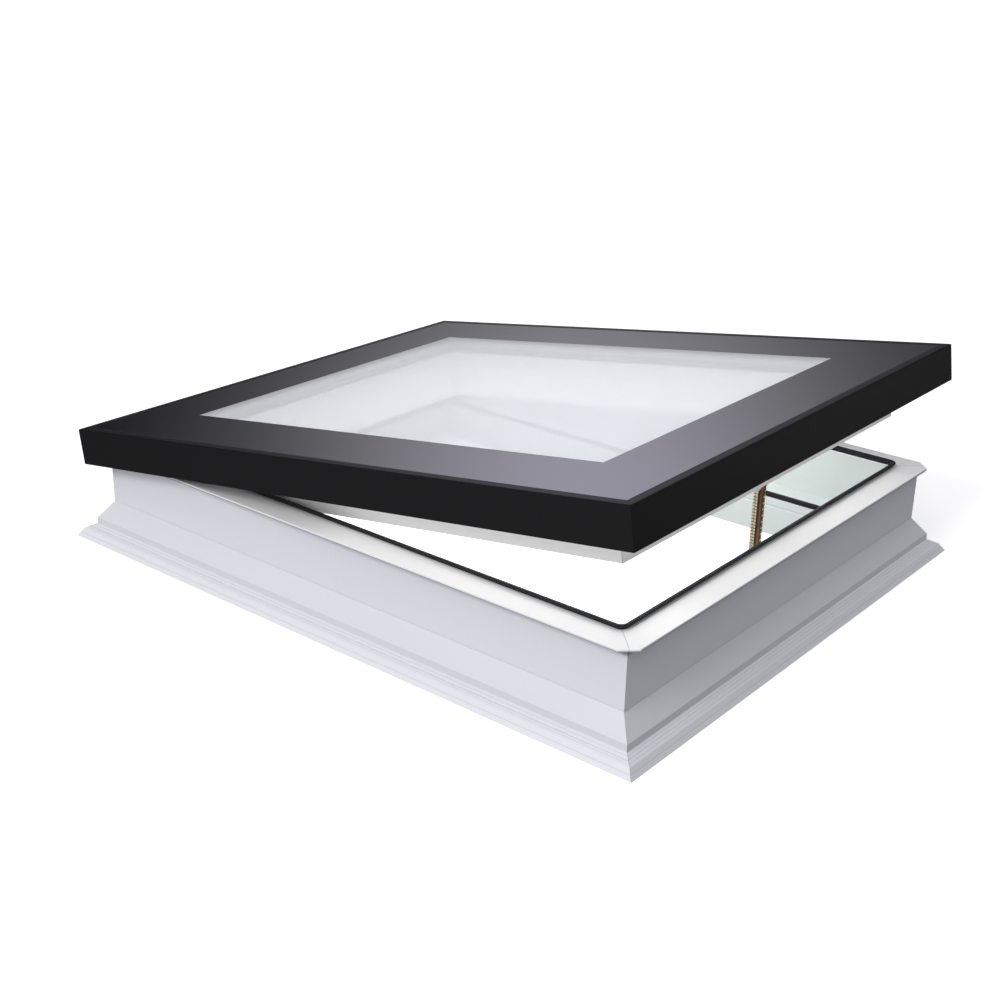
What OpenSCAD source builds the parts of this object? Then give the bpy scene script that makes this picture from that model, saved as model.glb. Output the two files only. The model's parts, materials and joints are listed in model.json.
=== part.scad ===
// Opening flat-roof skylight: a moulded curb with a gasketed flange, a glazed sash in a black
// aluminium skirt, two hinges at the rear and a concealed push-chain opener at the front.
// Millimetres. Origin: centre of the curb's underside, +Z up, +Y towards the hinges.
// The sash is drawn closed and then swung open about its hinge pins.

/* [Overall] */
// Width of the curb's base, along the hinge line
base_w = 900; // [780:5:1150]
// Depth of the curb's base, from the opening side to the hinge side
base_d = 1092; // [900:5:1350]
// Height of the curb, from the roof to its top flange
curb_h = 150; // [135:5:200]
// Angle of the open sash
open_angle = 8.94; // [5:0.02:12]

/* [Curb section] */
// Wall of the curb's hollow profile
curb_wall = 3; // [2.4:0.1:3.6]
// Reach of the base toe's first slope
toe_in = 9; // [6:0.5:10]
// Rise of the base toe's first slope
toe_h = 13; // [11:0.5:14]
// Inset of the upright step above the toe
step_in = 24; // [22:0.5:28]
// Height at the step's foot
step_foot_h = 21; // [19:0.5:23]
// Height at the step's head
step_head_h = 31; // [28:0.5:33]
// Inset of the curb's upright wall
wall_in = 45.5; // [42:0.5:47]
// Height where the upright wall starts
wall_foot_h = 59; // [52:1:64]
// Inset of the top flange's outer lip
lip_in = 30; // [26:0.5:33]
// Thickness of the top flange
flange_t = 4; // [3:0.5:5]
// Inset of the upper inner wall
inner_in = 78.5; // [78:0.5:80]
// Height of the inner ledge
ledge_h = 65; // [64:1:70]
// Inset of the daylight opening
daylight_in = 136; // [134:0.5:137]
// Corner cut on the top flange
flange_chamfer = 20; // [8:1:20]
// Size of the fine groove on the base toe
toe_groove = 1; // [0.6:0.1:1.4]
// Height of the lining groove in the daylight opening
lining_groove_h = 49; // [44:1:54]
// Width of the lining groove
lining_groove_w = 3; // [2:0.5:5]
// Depth of the lining groove
lining_groove_deep = 1.5; // [1:0.1:1.8]
// Clearance round each insulation bar
insulation_fit = 0.3; // [0.2:0.1:0.5]

/* [Seals] */
// Height of the outer seal on the flange
seal_h = 11.4; // [10:0.1:12.5]
// Inset of the outer seal's foot
seal_in = 73.2; // [73:0.1:74]
// Width of the outer seal's foot
seal_foot_w = 5; // [4:0.1:5]
// Outward lean of the outer seal
seal_lean = 4; // [3:0.1:4.5]
// Outer corner radius of the outer seal
seal_corner_r = 14; // [12:1:18]
// Height of the ledge seal
ledge_seal_h = 8; // [6:0.5:9]
// Width of the ledge seal
ledge_seal_w = 8; // [6:0.5:8]
// Outer corner radius of the ledge seal
ledge_seal_corner_r = 10; // [9:1:16]
// Gap between a closed sash and its seals
seal_gap = 0.3; // [0.3:0.1:1]

/* [Sash] */
// Set-back of the sash from the base at the sides
sash_in_x = 13.5; // [11:0.5:15]
// Set-back of the sash from the base at the front and rear
sash_in_y = 15.5; // [15:0.5:17]
// Wall of the sash's hollow profile
sash_wall = 2.8; // [2.2:0.1:3.2]
// Height of the sash's shoulder
shoulder_h = 20.3; // [18:0.1:26]
// Inset of the sash leg's outer face
leg_in = 69.3; // [69:0.1:70]
// Width of the sash leg
leg_w = 52.7; // [48:0.1:54]
// Clear height under the sash leg, above the curb's ledge
leg_clear = 21; // [19:0.5:26]
// Width of the foot that meets the ledge seal
foot_w = 16; // [12:0.5:18]
// Inset of the glazing rebate's side
rebate_in = 82; // [80:0.5:84]
// Width of the steel reinforcement tube
tube_w = 32; // [26:1:34]
// Height of the steel reinforcement tube
tube_h = 40; // [24:1:44]
// Wall of the steel reinforcement tube
tube_wall = 2; // [1.5:0.1:2.5]

/* [Skirt] */
// Thickness of the skirt's web and flanges
skirt_t = 2.5; // [2:0.1:2.7]
// Depth of the skirt's outer face
skirt_h = 57.7; // [50:0.1:62]
// Width of the rim round the glass
rim_w = 13.8; // [10:0.1:16]
// Reach of the fixing lip under the shoulder
fix_lip_w = 16; // [14:0.5:16.5]
// Stand of the rim above the glass
rim_stand = 0.5; // [0:0.1:1]
// Gap between the rim and the glass
rim_gap = 0.4; // [0.3:0.1:1]
// Leg of each corner cleat
cleat_leg = 45; // [30:1:70]
// Target spacing of the fixing screws
screw_pitch = 260; // [180:10:400]

/* [Glazing] */
// Thickness of the outer pane
outer_pane_t = 6; // [5:0.5:8]
// Thickness of the inner pane
inner_pane_t = 6.8; // [6:0.2:8.8]
// Width of the cavity between the panes
cavity_t = 16; // [12:1:16]
// Set-back of the inner pane's edge from the sash edge
inner_pane_in = 88; // [86:0.5:90]
// Width of the spacer bar
spacer_w = 12; // [8:1:14]
// Width of the edge seal between the panes
edge_seal_w = 8; // [5:0.5:9]
// Thickness of the tape under the outer pane
tape_t = 1.5; // [1:0.1:3]
// Width of the tape under the outer pane
tape_w = 20; // [12:1:30]
// Thickness of the gasket under the inner pane
pad_t = 3; // [2:0.5:4]

/* [Hinges] */
// Height of the hinge pin above the flange
pin_lift = 6; // [6:0.1:6.2]
// Inset of the hinge pin
hinge_in = 64.5; // [63.5:0.1:65]
// Distance between the two hinges
hinge_spread = 480; // [300:10:620]
// Length of a hinge
hinge_len = 84; // [70:2:120]
// Radius of a hinge knuckle
knuckle_r = 5; // [4.5:0.1:5.1]
// Radius of a hinge pin
pin_r = 2.5; // [2:0.1:3]
// Running clearance of the hinge pin
pin_fit = 0.05; // [0.03:0.01:0.1]
// Thickness of a hinge leaf
leaf_t = 2.5; // [2:0.1:2.6]
// Width of a hinge leaf
leaf_w = 25; // [20:1:26]

/* [Opener] */
// Inset of the push chain, which stands upright under the open sash
chain_in = 106.1; // [105:0.1:107]
// Pitch of the push chain
chain_pitch = 9.5; // [9:0.1:10]
// Teeth on the chain sprocket
sprocket_teeth = 8; // [8:1:9]
// Width of a chain plate, from its back to its toothed side
plate_w = 22; // [18:1:22]
// Thickness of a chain plate
plate_t = 1.8; // [1.2:0.1:2]
// Radius of a chain pin
chain_pin_r = 1.8; // [1.4:0.1:1.8]
// Outer height of the opener's housing
housing_h = 57; // [56:0.5:57]
// Wall of the opener's housing
housing_wall = 2; // [1.5:0.1:2]
// Length of the housing on the motor side of the chain
housing_left = 165; // [150:5:200]
// Length of the housing on the chain's storage side
housing_right = 205; // [190:5:240]
// Thickness of the cover over the opener
cover_t = 2.5; // [2:0.1:3]
// Radius of the drive motor
motor_r = 10; // [8:0.5:10]
// Length of the drive motor
motor_len = 72; // [50:2:90]
// Radius of the cable grommet's bore
cable_r = 4; // [3:0.5:5]

/* [Hidden] */
$fn = 48;

// a cut runs this far past the face it opens
over = 1;
// clearance of a screw in its hole, and of a piece in its seat
screw_fit = 0.1;
seat_fit = 0.3;

// heights and sizes that follow from the driving dimensions
flange_under = curb_h - flange_t;
seal_top = curb_h + seal_h;
shoulder_z = seal_top + seal_gap;
shoulder_top = shoulder_z + shoulder_h;
glass_under = shoulder_top + tape_t;
glass_top = glass_under + outer_pane_t;
rim_top = glass_top + rim_stand;
inner_glass_top = glass_under - cavity_t;
inner_glass_under = inner_glass_top - inner_pane_t;
rebate_z = inner_glass_under - pad_t;
leg_z = ledge_h + leg_clear;
foot_z = ledge_h + ledge_seal_h + seal_gap;
leg_out = leg_in + leg_w;
foot_in = leg_out - foot_w;
sash_w = base_w - 2 * sash_in_x;
sash_d = base_d - 2 * sash_in_y;
screw_chamber_h = 14;
chamber_web_z = flange_under - screw_chamber_h;
fix_screw_in = 9.5;

// the hinge line, in the Y-Z plane
hinge_y = base_d / 2 - hinge_in;
hinge_z = curb_h + pin_lift;

// a point of the closed sash, as [y, z], swung to its open place
function opened(p) =
    let (dy = p[0] - hinge_y, dz = p[1] - hinge_z)
    [hinge_y + dy * cos(open_angle) + dz * sin(open_angle),
     hinge_z - dy * sin(open_angle) + dz * cos(open_angle)];

// the push chain: the line that it stands on when open, and the place of its bracket pin on the
// closed sash, which swings up onto that line
bracket_t = 2.5;
bracket_pin_r = 3;
bracket_drop = 9;
chain_y = chain_in - base_d / 2;
pin_closed_z = leg_z - bracket_drop;
pin_closed = [hinge_y + (chain_y - hinge_y - (pin_closed_z - hinge_z) * sin(open_angle)) / cos(open_angle),
              pin_closed_z];
chain_top = opened(pin_closed)[1];
sprocket_r = chain_pitch / (2 * sin(180 / sprocket_teeth));
plate_tooth_side = 4.4;
chain_x = plate_w / 2 - plate_tooth_side;
sprocket_x = chain_x + sprocket_r;
housing_top = ledge_h - curb_wall;
housing_z = housing_top - housing_h;
chain_floor = 3.3;
sprocket_z = housing_z + housing_wall + chain_floor + plate_w - plate_tooth_side + sprocket_r;
plate_gap = 2.3;
chain_half = plate_gap + 2 * plate_t;
plate_end = chain_pitch / 2 - 0.35;
inner_trim = 0.6;
// the riveted plates are drawn as one solid, with this much lap
plate_lap = 0.1;
end_block = [14, 11, 14];
end_eye_fit = 0.4;
// the last chain pin below the bracket pin
chain_links = floor((chain_top - end_block[2] / 2 - sprocket_z) / chain_pitch);
chain_last_z = sprocket_z + chain_links * chain_pitch;

// the opener's housing: the motor lies on its outer side, beside the chain
housing_out = 22;
housing_inward = 15;
housing_w = housing_out + housing_inward;
shaft_r = 3;
bush_r = 5;
pocket_fit = 1;
ear_len = 20;
cap_t = 3;
cover_lap = 4;
gearbox_size = [46, 13, 34];
gearbox_y = -(chain_half + 0.7);
grommet_x = -(housing_left + ear_len + 40);
grommet_z = 26;
grommet_lip = 3;
grommet_lip_t = 2;
grommet_wall = 2.5;

// --- plane geometry ---------------------------------------------------------------------

// left-hand normal of the edge from p to q, of length 1
function inward(p, q) = let (d = (q - p) / norm(q - p)) [-d[1], d[0]];

// where the line through a along da meets the line through b along db
function crossing(a, da, b, db) =
    a + da * (((b[0] - a[0]) * db[1] - (b[1] - a[1]) * db[0]) / (da[0] * db[1] - da[1] * db[0]));

// a counter-clockwise outline with each edge moved inwards by its own distance in t
function set_back(pts, t) =
    let (n = len(pts))
    [for (i = [0:n - 1])
        let (a = pts[(i + n - 1) % n], b = pts[i], c = pts[(i + 1) % n])
        crossing(b + t[(i + n - 1) % n] * inward(a, b), b - a, b + t[i] * inward(b, c), c - b)];

// the same distance for every edge of an outline
function even(pts, t) = [for (p = pts) t];

// an upright rectangle from corner a to corner b, counter-clockwise
function box2(a, b) = [a, [b[0], a[1]], b, [a[0], b[1]]];

// --- placing ----------------------------------------------------------------------------

// sides are numbered from the front, counter-clockwise: front, right, rear, left
function run_of(side, w, d) = side % 2 == 0 ? w : d;
function depth_of(side, w, d) = side % 2 == 0 ? d : w;

// puts a piece drawn along X, with its outer edge on y = 0 and inwards +Y, on one side
module on_side(side, w, d)
    rotate([0, 0, 90 * side])
        translate([0, -depth_of(side, w, d) / 2, 0])
            children();

// a section in [inset, height], run along X
module along_x(run)
    rotate([90, 0, 90])
        linear_extrude(run, center = true)
            children();

// one side of a rectangular frame: a section run along it and mitred at both ends
module mitred(side, w, d, reach) {
    run = run_of(side, w, d);
    tall = 2 * (curb_h + sash_d);
    on_side(side, w, d)
        intersection() {
            along_x(run) children();
            translate([0, 0, -tall / 2])
                linear_extrude(tall)
                    polygon([[-run / 2, 0], [run / 2, 0],
                             [run / 2 - reach, reach], [-run / 2 + reach, reach]]);
        }
}

// a closed ring with round corners: a section in [outwards, height] along a w by d outline
module ring(w, d, r) {
    for (side = [0:3])
        on_side(side, w, d)
            rotate([90, 0, -90])
                linear_extrude(run_of(side, w, d) - 2 * r, center = true)
                    children();
    for (i = [0:3])
        translate([(i == 0 || i == 3 ? 1 : -1) * (w / 2 - r), (i < 2 ? 1 : -1) * (d / 2 - r), 0])
            rotate([0, 0, 90 * i])
                rotate_extrude(angle = 90)
                    translate([r, 0])
                        children();
}

// a flat plate of the given inset from a w by d outline, between two heights
module sheet(w, d, inset, z0, z1)
    translate([-(w / 2 - inset), -(d / 2 - inset), z0])
        cube([w - 2 * inset, d - 2 * inset, z1 - z0]);

// a flat band between two insets from a w by d outline
module band(w, d, from, to, z0, z1)
    difference() {
        sheet(w, d, from, z0, z1);
        sheet(w, d, to, z0 - over, z1 + over);
    }

// swings the closed sash open about the hinge pins
module swung()
    translate([0, hinge_y, hinge_z])
        rotate([-open_angle, 0, 0])
            translate([0, -hinge_y, -hinge_z])
                children();

// a cylinder along X or along Y, centred on the origin
module rod_x(r, len) rotate([0, 90, 0]) cylinder(r = r, h = len, center = true);
module rod_y(r, len) rotate([90, 0, 0]) cylinder(r = r, h = len, center = true);

// a countersunk screw with its flat head at z = 0 and its shank down
module flat_screw(r, len)
    rotate_extrude()
        polygon([[0, 0], [2 * r, 0], [r, -r], [r, -len + r], [0, -len]]);

// a screw with a low round-edged head standing on z = 0 and its shank down
module pan_screw(r, len, head_h)
    rotate_extrude()
        polygon([[0, head_h], [1.5 * r, head_h], [2 * r, head_h / 2], [2 * r, 0],
                 [r, 0], [r, -len + r], [0, -len]]);

// --- curb -------------------------------------------------------------------------------

curb_outline = [
    [0, 0],
    [daylight_in, 0],
    [daylight_in, lining_groove_h],
    [daylight_in - lining_groove_deep, lining_groove_h],
    [daylight_in - lining_groove_deep, lining_groove_h + lining_groove_w],
    [daylight_in, lining_groove_h + lining_groove_w],
    [daylight_in, ledge_h],
    [inner_in, ledge_h],
    [inner_in, curb_h],
    [lip_in, curb_h],
    [lip_in, flange_under],
    [wall_in, flange_under],
    [wall_in, wall_foot_h],
    [step_in + 0.6, step_head_h],
    [step_in, step_foot_h],
    [(toe_in + step_in) / 2 + toe_groove, (toe_h + step_foot_h) / 2 + toe_groove * 0.5],
    [(toe_in + step_in) / 2, (toe_h + step_foot_h) / 2 - toe_groove],
    [(toe_in + step_in) / 2 - toe_groove, (toe_h + step_foot_h) / 2 - toe_groove * 0.5],
    [toe_in, toe_h]
];

// the web below the upper inner wall, and the rooms on its two sides
web_in = inner_in - curb_wall;
toe_room = set_back([[0, 0], [wall_in, 0], [wall_in, wall_foot_h], [step_in + 0.6, step_head_h],
                     [step_in, step_foot_h], [toe_in, toe_h]],
                    [curb_wall, 0, curb_wall, curb_wall, curb_wall, curb_wall]);
middle_room = box2([wall_in + curb_wall, curb_wall], [web_in, ledge_h - curb_wall]);
ledge_room = box2([inner_in, curb_wall], [daylight_in - curb_wall, ledge_h - curb_wall]);
wall_room = box2([wall_in + curb_wall, ledge_h], [web_in, chamber_web_z - curb_wall]);
screw_room = box2([wall_in + curb_wall, chamber_web_z], [web_in, flange_under]);

module curb_section()
    difference() {
        polygon(curb_outline);
        for (room = [toe_room, middle_room, ledge_room, wall_room, screw_room]) polygon(room);
    }

// trims the mitre points of the top flange by a flat across each corner
module trimmed_flange()
    difference() {
        children();
        for (sx = [-1, 1], sy = [-1, 1])
            translate([sx * (base_w / 2 - lip_in), sy * (base_d / 2 - lip_in), flange_under - over])
                linear_extrude(flange_t + 2 * over)
                    polygon([[-sx * flange_chamfer, over * sy], [over * sx, over * sy],
                             [over * sx, -sy * flange_chamfer],
                             [0, -sy * flange_chamfer], [-sx * flange_chamfer, 0]]);
    }

module curb_side(side)
    color("gainsboro")
        trimmed_flange()
            mitred(side, base_w, base_d, daylight_in + over) curb_section();

module curb_front()
    color("gainsboro")
        difference() {
            curb_side(0);
            opener_pocket();
            opener_ear_holes();
            cover_screw_places()
                translate([0, 0, -curb_wall - over])
                    cylinder(r = cover_screw_r + screw_fit, h = curb_wall + 2 * over);
            grommet_place() rod_y(cable_r + grommet_wall, 4 * curb_wall);
        }

module curb_right() curb_side(1);

module curb_rear()
    color("gainsboro")
        difference() {
            curb_side(2);
            leaf_screw_places()
                translate([0, 0, -flange_t - over])
                    cylinder(r = leaf_screw_r + screw_fit, h = flange_t + 2 * over);
        }

module curb_left() curb_side(3);

module insulation(side)
    color("lightsteelblue")
        mitred(side, base_w, base_d, daylight_in)
            polygon(set_back(wall_room, even(wall_room, insulation_fit)));

module insulation_front() insulation(0);
module insulation_right() insulation(1);
module insulation_rear() insulation(2);
module insulation_left() insulation(3);

// the outer seal leans outwards over the flange and is hollow
module flange_seal()
    color("black")
        ring(base_w - 2 * seal_in, base_d - 2 * seal_in, seal_corner_r)
            translate([0, curb_h])
                difference() {
                    polygon([[0, 0], [-seal_foot_w, 0], [-seal_foot_w + 1.2, seal_h * 0.45],
                             [-1.6, seal_h], [seal_lean, seal_h], [seal_lean * 0.75, seal_h * 0.55],
                             [0.4, seal_h * 0.2]]);
                    translate([0.4, seal_h * 0.68]) circle(r = 1.5, $fn = 24);
                }

// the ledge seal stands along the inner edge of the ledge
module ledge_seal()
    color("black")
        ring(base_w - 2 * (daylight_in - ledge_seal_w), base_d - 2 * (daylight_in - ledge_seal_w),
             ledge_seal_corner_r)
            translate([0, ledge_h])
                polygon([[0, 0], [-ledge_seal_w, 0], [-ledge_seal_w, ledge_seal_h],
                         [-ledge_seal_w * 0.45, ledge_seal_h], [-ledge_seal_w * 0.3, ledge_seal_h * 0.4],
                         [0, ledge_seal_h * 0.3]]);

module grommet_place()
    translate([grommet_x, -base_d / 2 + daylight_in - curb_wall / 2, grommet_z]) children();

// a rubber grommet clipped into the curb's inner face, for the opener's supply cable
module cable_grommet() {
    r = cable_r + grommet_wall;
    half = curb_wall / 2;
    color("dimgray")
        grommet_place()
            rotate([90, 0, 0])
                rotate_extrude()
                    polygon([[cable_r, -half - grommet_lip_t], [r + grommet_lip, -half - grommet_lip_t],
                             [r + grommet_lip, -half], [r, -half], [r, half],
                             [r + grommet_lip, half], [r + grommet_lip, half + grommet_lip_t],
                             [cable_r, half + grommet_lip_t]]);
}

// --- hinges -----------------------------------------------------------------------------

leaf_screw_r = 2;
leaf_screw_len = 14;
knuckle_gap = 0.5;
leaf_back = 1.5;
middle_len = hinge_len * 0.36;
leaf_edge = knuckle_r + leaf_back;
// the screws stand this far behind the pin, just inside the curb's outer wall
leaf_screw_back = hinge_in - (wall_in + curb_wall + leaf_screw_r + 1);

module at_hinge(sx) translate([sx * hinge_spread / 2, hinge_y, hinge_z]) children();

// the places of a leaf's three screws, seen from above its curb leaf, for both hinges
module leaf_screw_places()
    for (sx = [-1, 1], k = [-1, 0, 1])
        translate([sx * hinge_spread / 2 + k * hinge_len / 3,
                   hinge_y + leaf_screw_back, curb_h])
            children();

// one leaf: a plate behind the pin and knuckles between the given x stretches
module leaf(stretches, plate_z, holes_up) {
    difference() {
        union() {
            translate([-hinge_len / 2, leaf_edge, plate_z]) cube([hinge_len, leaf_w, leaf_t]);
            for (s = stretches) {
                translate([s[0], 0, plate_z]) cube([s[1] - s[0], leaf_edge + over, leaf_t]);
                translate([(s[0] + s[1]) / 2, 0, 0]) rod_x(knuckle_r, s[1] - s[0]);
            }
        }
        rod_x(pin_r + pin_fit, 2 * hinge_len);
        for (k = [-1, 0, 1])
            translate([k * hinge_len / 3, leaf_screw_back, plate_z + (holes_up ? leaf_t : 0)])
                mirror([0, 0, holes_up ? 0 : 1])
                    union() {
                        translate([0, 0, -leaf_t - over])
                            cylinder(r = leaf_screw_r + screw_fit, h = leaf_t + 2 * over);
                        translate([0, 0, -leaf_screw_r - 2 * screw_fit])
                            cylinder(r1 = leaf_screw_r + screw_fit,
                                     r2 = 2 * leaf_screw_r + 3 * screw_fit,
                                     h = leaf_screw_r + 2 * screw_fit + 0.01);
                    }
    }
}

module curb_leaf(sx)
    color("silver")
        at_hinge(sx)
            leaf([[-hinge_len / 2, -middle_len / 2 - knuckle_gap],
                  [middle_len / 2 + knuckle_gap, hinge_len / 2]], -pin_lift, true);

module sash_leaf(sx)
    color("silver")
        swung() at_hinge(sx)
            leaf([[-middle_len / 2, middle_len / 2]], shoulder_z - hinge_z - leaf_t, false);

module hinge_pin(sx)
    color("gray")
        at_hinge(sx) {
            rod_x(pin_r, hinge_len + 2);
            for (e = [-1, 1]) translate([e * (hinge_len / 2 + 1), 0, 0]) rod_x(pin_r + 1, 1.4);
        }

module curb_leaf_left() curb_leaf(-1);
module curb_leaf_right() curb_leaf(1);
module hinge_pin_left() hinge_pin(-1);
module hinge_pin_right() hinge_pin(1);
module sash_leaf_left() sash_leaf(-1);
module sash_leaf_right() sash_leaf(1);

module curb_leaf_screws()
    color("silver")
        leaf_screw_places() translate([0, 0, leaf_t - screw_fit]) flat_screw(leaf_screw_r, leaf_screw_len);

module sash_leaf_screws()
    color("silver")
        swung()
            leaf_screw_places()
                translate([0, 0, shoulder_z - curb_h - leaf_t + screw_fit])
                    mirror([0, 0, 1]) flat_screw(leaf_screw_r, leaf_screw_len);

// --- sash -------------------------------------------------------------------------------

shoulder_in = skirt_t + seat_fit;
shoulder_web_in = 32;
sash_outline = [
    [shoulder_in, shoulder_z], [leg_in, shoulder_z], [leg_in, leg_z], [foot_in, leg_z],
    [foot_in, foot_z], [leg_out, foot_z], [leg_out, rebate_z], [rebate_in, rebate_z],
    [rebate_in, shoulder_top], [shoulder_in, shoulder_top]
];
outer_room = set_back(box2([shoulder_in, shoulder_z], [shoulder_web_in, shoulder_top]),
                      even([0, 0, 0, 0], sash_wall));
inner_room = box2([shoulder_web_in, shoulder_z + sash_wall],
                  [rebate_in - sash_wall, shoulder_top - sash_wall]);
leg_room = set_back([[leg_in, leg_z], [foot_in, leg_z], [foot_in, foot_z], [leg_out, foot_z],
                     [leg_out, rebate_z], [rebate_in, rebate_z], [rebate_in, shoulder_z + sash_wall],
                     [leg_in, shoulder_z + sash_wall]],
                    even([0, 0, 0, 0, 0, 0, 0, 0], sash_wall));

module sash_section()
    difference() {
        polygon(sash_outline);
        for (room = [outer_room, inner_room, leg_room]) polygon(room);
    }

module sash_side(side)
    color("whitesmoke")
        swung() mitred(side, sash_w, sash_d, leg_out + over) sash_section();

module sash_holes()
    swung() {
        skirt_screw_places() cylinder(r = fix_screw_r + screw_fit, h = 3 * sash_wall);
    }

module sash_front()
    color("whitesmoke")
        difference() {
            sash_side(0);
            sash_holes();
            swung()
                bracket_screw_places() cylinder(r = bracket_screw_r + screw_fit, h = 3 * sash_wall);
        }

module sash_right()
    color("whitesmoke") difference() { sash_side(1); sash_holes(); }

module sash_rear()
    color("whitesmoke")
        difference() {
            sash_side(2);
            sash_holes();
            swung()
                leaf_screw_places()
                    translate([0, 0, shoulder_z - curb_h - over])
                        cylinder(r = leaf_screw_r + screw_fit, h = sash_wall + 2 * over);
        }

module sash_left()
    color("whitesmoke") difference() { sash_side(3); sash_holes(); }

tube_u = leg_in + sash_wall + seat_fit;
tube_z = leg_z + sash_wall + seat_fit;
tube_top = min(tube_z + tube_h, rebate_z - sash_wall - seat_fit);

module tube(side)
    color("slategray")
        swung()
            mitred(side, sash_w, sash_d, leg_out)
                difference() {
                    polygon(box2([tube_u, tube_z], [tube_u + tube_w, tube_top]));
                    polygon(box2([tube_u + tube_wall, tube_z + tube_wall],
                                 [tube_u + tube_w - tube_wall, tube_top - tube_wall]));
                }

module tube_front()
    color("slategray")
        difference() {
            tube(0);
            swung()
                bracket_screw_places()
                    cylinder(r = bracket_screw_r + screw_fit,
                             h = bracket_t + tube_z - leg_z + tube_wall + over);
        }

module tube_right() tube(1);
module tube_rear() tube(2);
module tube_left() tube(3);

// --- skirt ------------------------------------------------------------------------------

rim_chamfer = 1;
fix_screw_r = 1.8;
fix_screw_len = 12;
fix_head_h = 2;
skirt_z = rim_top - skirt_h;
fix_lip_z = shoulder_z - skirt_t;

module skirt_section()
    polygon([[0, skirt_z], [skirt_t, skirt_z], [skirt_t, fix_lip_z], [fix_lip_w, fix_lip_z],
             [fix_lip_w, shoulder_z], [skirt_t, shoulder_z], [skirt_t, rim_top - skirt_t],
             [rim_w, rim_top - skirt_t], [rim_w, rim_top], [rim_chamfer, rim_top],
             [0, rim_top - rim_chamfer]]);

// the places of the screws that hold the fixing lip to the shoulder, all round
module skirt_screw_places()
    for (side = [0:3]) {
        run = run_of(side, sash_w, sash_d) - 2 * leg_in;
        count = max(2, round(run / screw_pitch));
        for (k = [0:count])
            on_side(side, sash_w, sash_d)
                translate([run * (k / count - 0.5), fix_screw_in, fix_lip_z])
                    children();
    }

module skirt_side(side)
    color([0.12, 0.12, 0.125])
        swung()
            difference() {
                mitred(side, sash_w, sash_d, fix_lip_w + over) skirt_section();
                skirt_screw_places()
                    translate([0, 0, -over])
                        cylinder(r = fix_screw_r + screw_fit, h = skirt_t + 2 * over);
            }

module skirt_front() skirt_side(0);
module skirt_right() skirt_side(1);
module skirt_rear() skirt_side(2);
module skirt_left() skirt_side(3);

// an angle in each corner under the rim, that joins the mitred lengths
cleat_w = 8;
module skirt_cleats()
    color("silver")
        swung()
            for (sx = [-1, 1], sy = [-1, 1])
                translate([sx * (sash_w / 2 - skirt_t - seat_fit), sy * (sash_d / 2 - skirt_t - seat_fit),
                           shoulder_top])
                    linear_extrude(rim_top - skirt_t - seat_fit - shoulder_top)
                        mirror([sx > 0 ? 1 : 0, 0, 0]) mirror([0, sy > 0 ? 1 : 0, 0])
                            polygon([[0, 0], [cleat_leg, 0], [cleat_leg, cleat_w], [cleat_w, cleat_w],
                                     [cleat_w, cleat_leg], [0, cleat_leg]]);

module skirt_screws()
    color("dimgray")
        swung()
            skirt_screw_places()
                mirror([0, 0, 1]) pan_screw(fix_screw_r, fix_screw_len, fix_head_h);

// --- glazing ----------------------------------------------------------------------------

module outer_pane()
    color([0.35, 0.35, 0.4])
        swung() sheet(sash_w, sash_d, rim_w + rim_gap, glass_under, glass_top);

module inner_pane()
    color([0.75, 0.85, 0.85])
        swung() sheet(sash_w, sash_d, inner_pane_in, inner_glass_under, inner_glass_top);

module spacer_bar() {
    from = inner_pane_in + edge_seal_w;
    skin = 1;
    color("darkgray")
        swung()
            difference() {
                band(sash_w, sash_d, from, from + spacer_w, inner_glass_top, glass_under);
                band(sash_w, sash_d, from + skin, from + spacer_w - skin,
                     inner_glass_top + skin, glass_under - skin);
            }
}

module edge_seal()
    color("black")
        swung()
            band(sash_w, sash_d, inner_pane_in, inner_pane_in + edge_seal_w,
                 inner_glass_top, glass_under);

module glazing_tape()
    color("black")
        swung()
            band(sash_w, sash_d, rim_w + rim_gap + 2, rim_w + rim_gap + 2 + tape_w,
                 shoulder_top, glass_under);

module glazing_gasket()
    color("black")
        swung()
            band(sash_w, sash_d, inner_pane_in + 4, leg_out - 3, rebate_z, inner_glass_under);

// plastic blocks that centre the inner pane in its rebate, two on each side
block_len = 90;
module setting_blocks()
    color("steelblue")
        swung()
            for (side = [0:3], e = [-1, 1])
                on_side(side, sash_w, sash_d)
                    translate([e * run_of(side, sash_w, sash_d) / 4 - block_len / 2,
                               rebate_in + seat_fit, rebate_z])
                        cube([block_len, inner_pane_in - rebate_in - 2 * seat_fit,
                              pad_t + inner_pane_t * 0.7]);

// --- chain bracket ----------------------------------------------------------------------

bracket_screw_r = 2;
bracket_screw_len = 9;
bracket_plate = [56, 22];
bracket_ear_x = end_block[0] / 2 + 1;
ear_half = 6;

module at_bracket() translate([0, pin_closed[0], pin_closed[1]]) children();

module bracket_screw_places()
    for (sx = [-1, 1])
        translate([sx * (bracket_plate[0] / 2 - 7), pin_closed[0], leg_z - bracket_t]) children();

module chain_bracket()
    color("silver")
        swung()
            difference() {
                union() {
                    translate([-bracket_plate[0] / 2, pin_closed[0] - bracket_plate[1] / 2,
                               leg_z - bracket_t])
                        cube([bracket_plate[0], bracket_plate[1], bracket_t]);
                    for (sx = [-1, 1])
                        at_bracket()
                            translate([sx * (bracket_ear_x + bracket_t / 2), 0, 0])
                                union() {
                                    rod_x(ear_half, bracket_t);
                                    translate([-bracket_t / 2, -ear_half, 0])
                                        cube([bracket_t, 2 * ear_half, bracket_drop - bracket_t / 2]);
                                }
                }
                at_bracket() rod_x(bracket_pin_r + pin_fit, 4 * bracket_ear_x);
                bracket_screw_places()
                    translate([0, 0, -over])
                        cylinder(r = bracket_screw_r + screw_fit, h = bracket_t + 2 * over);
            }

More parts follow.
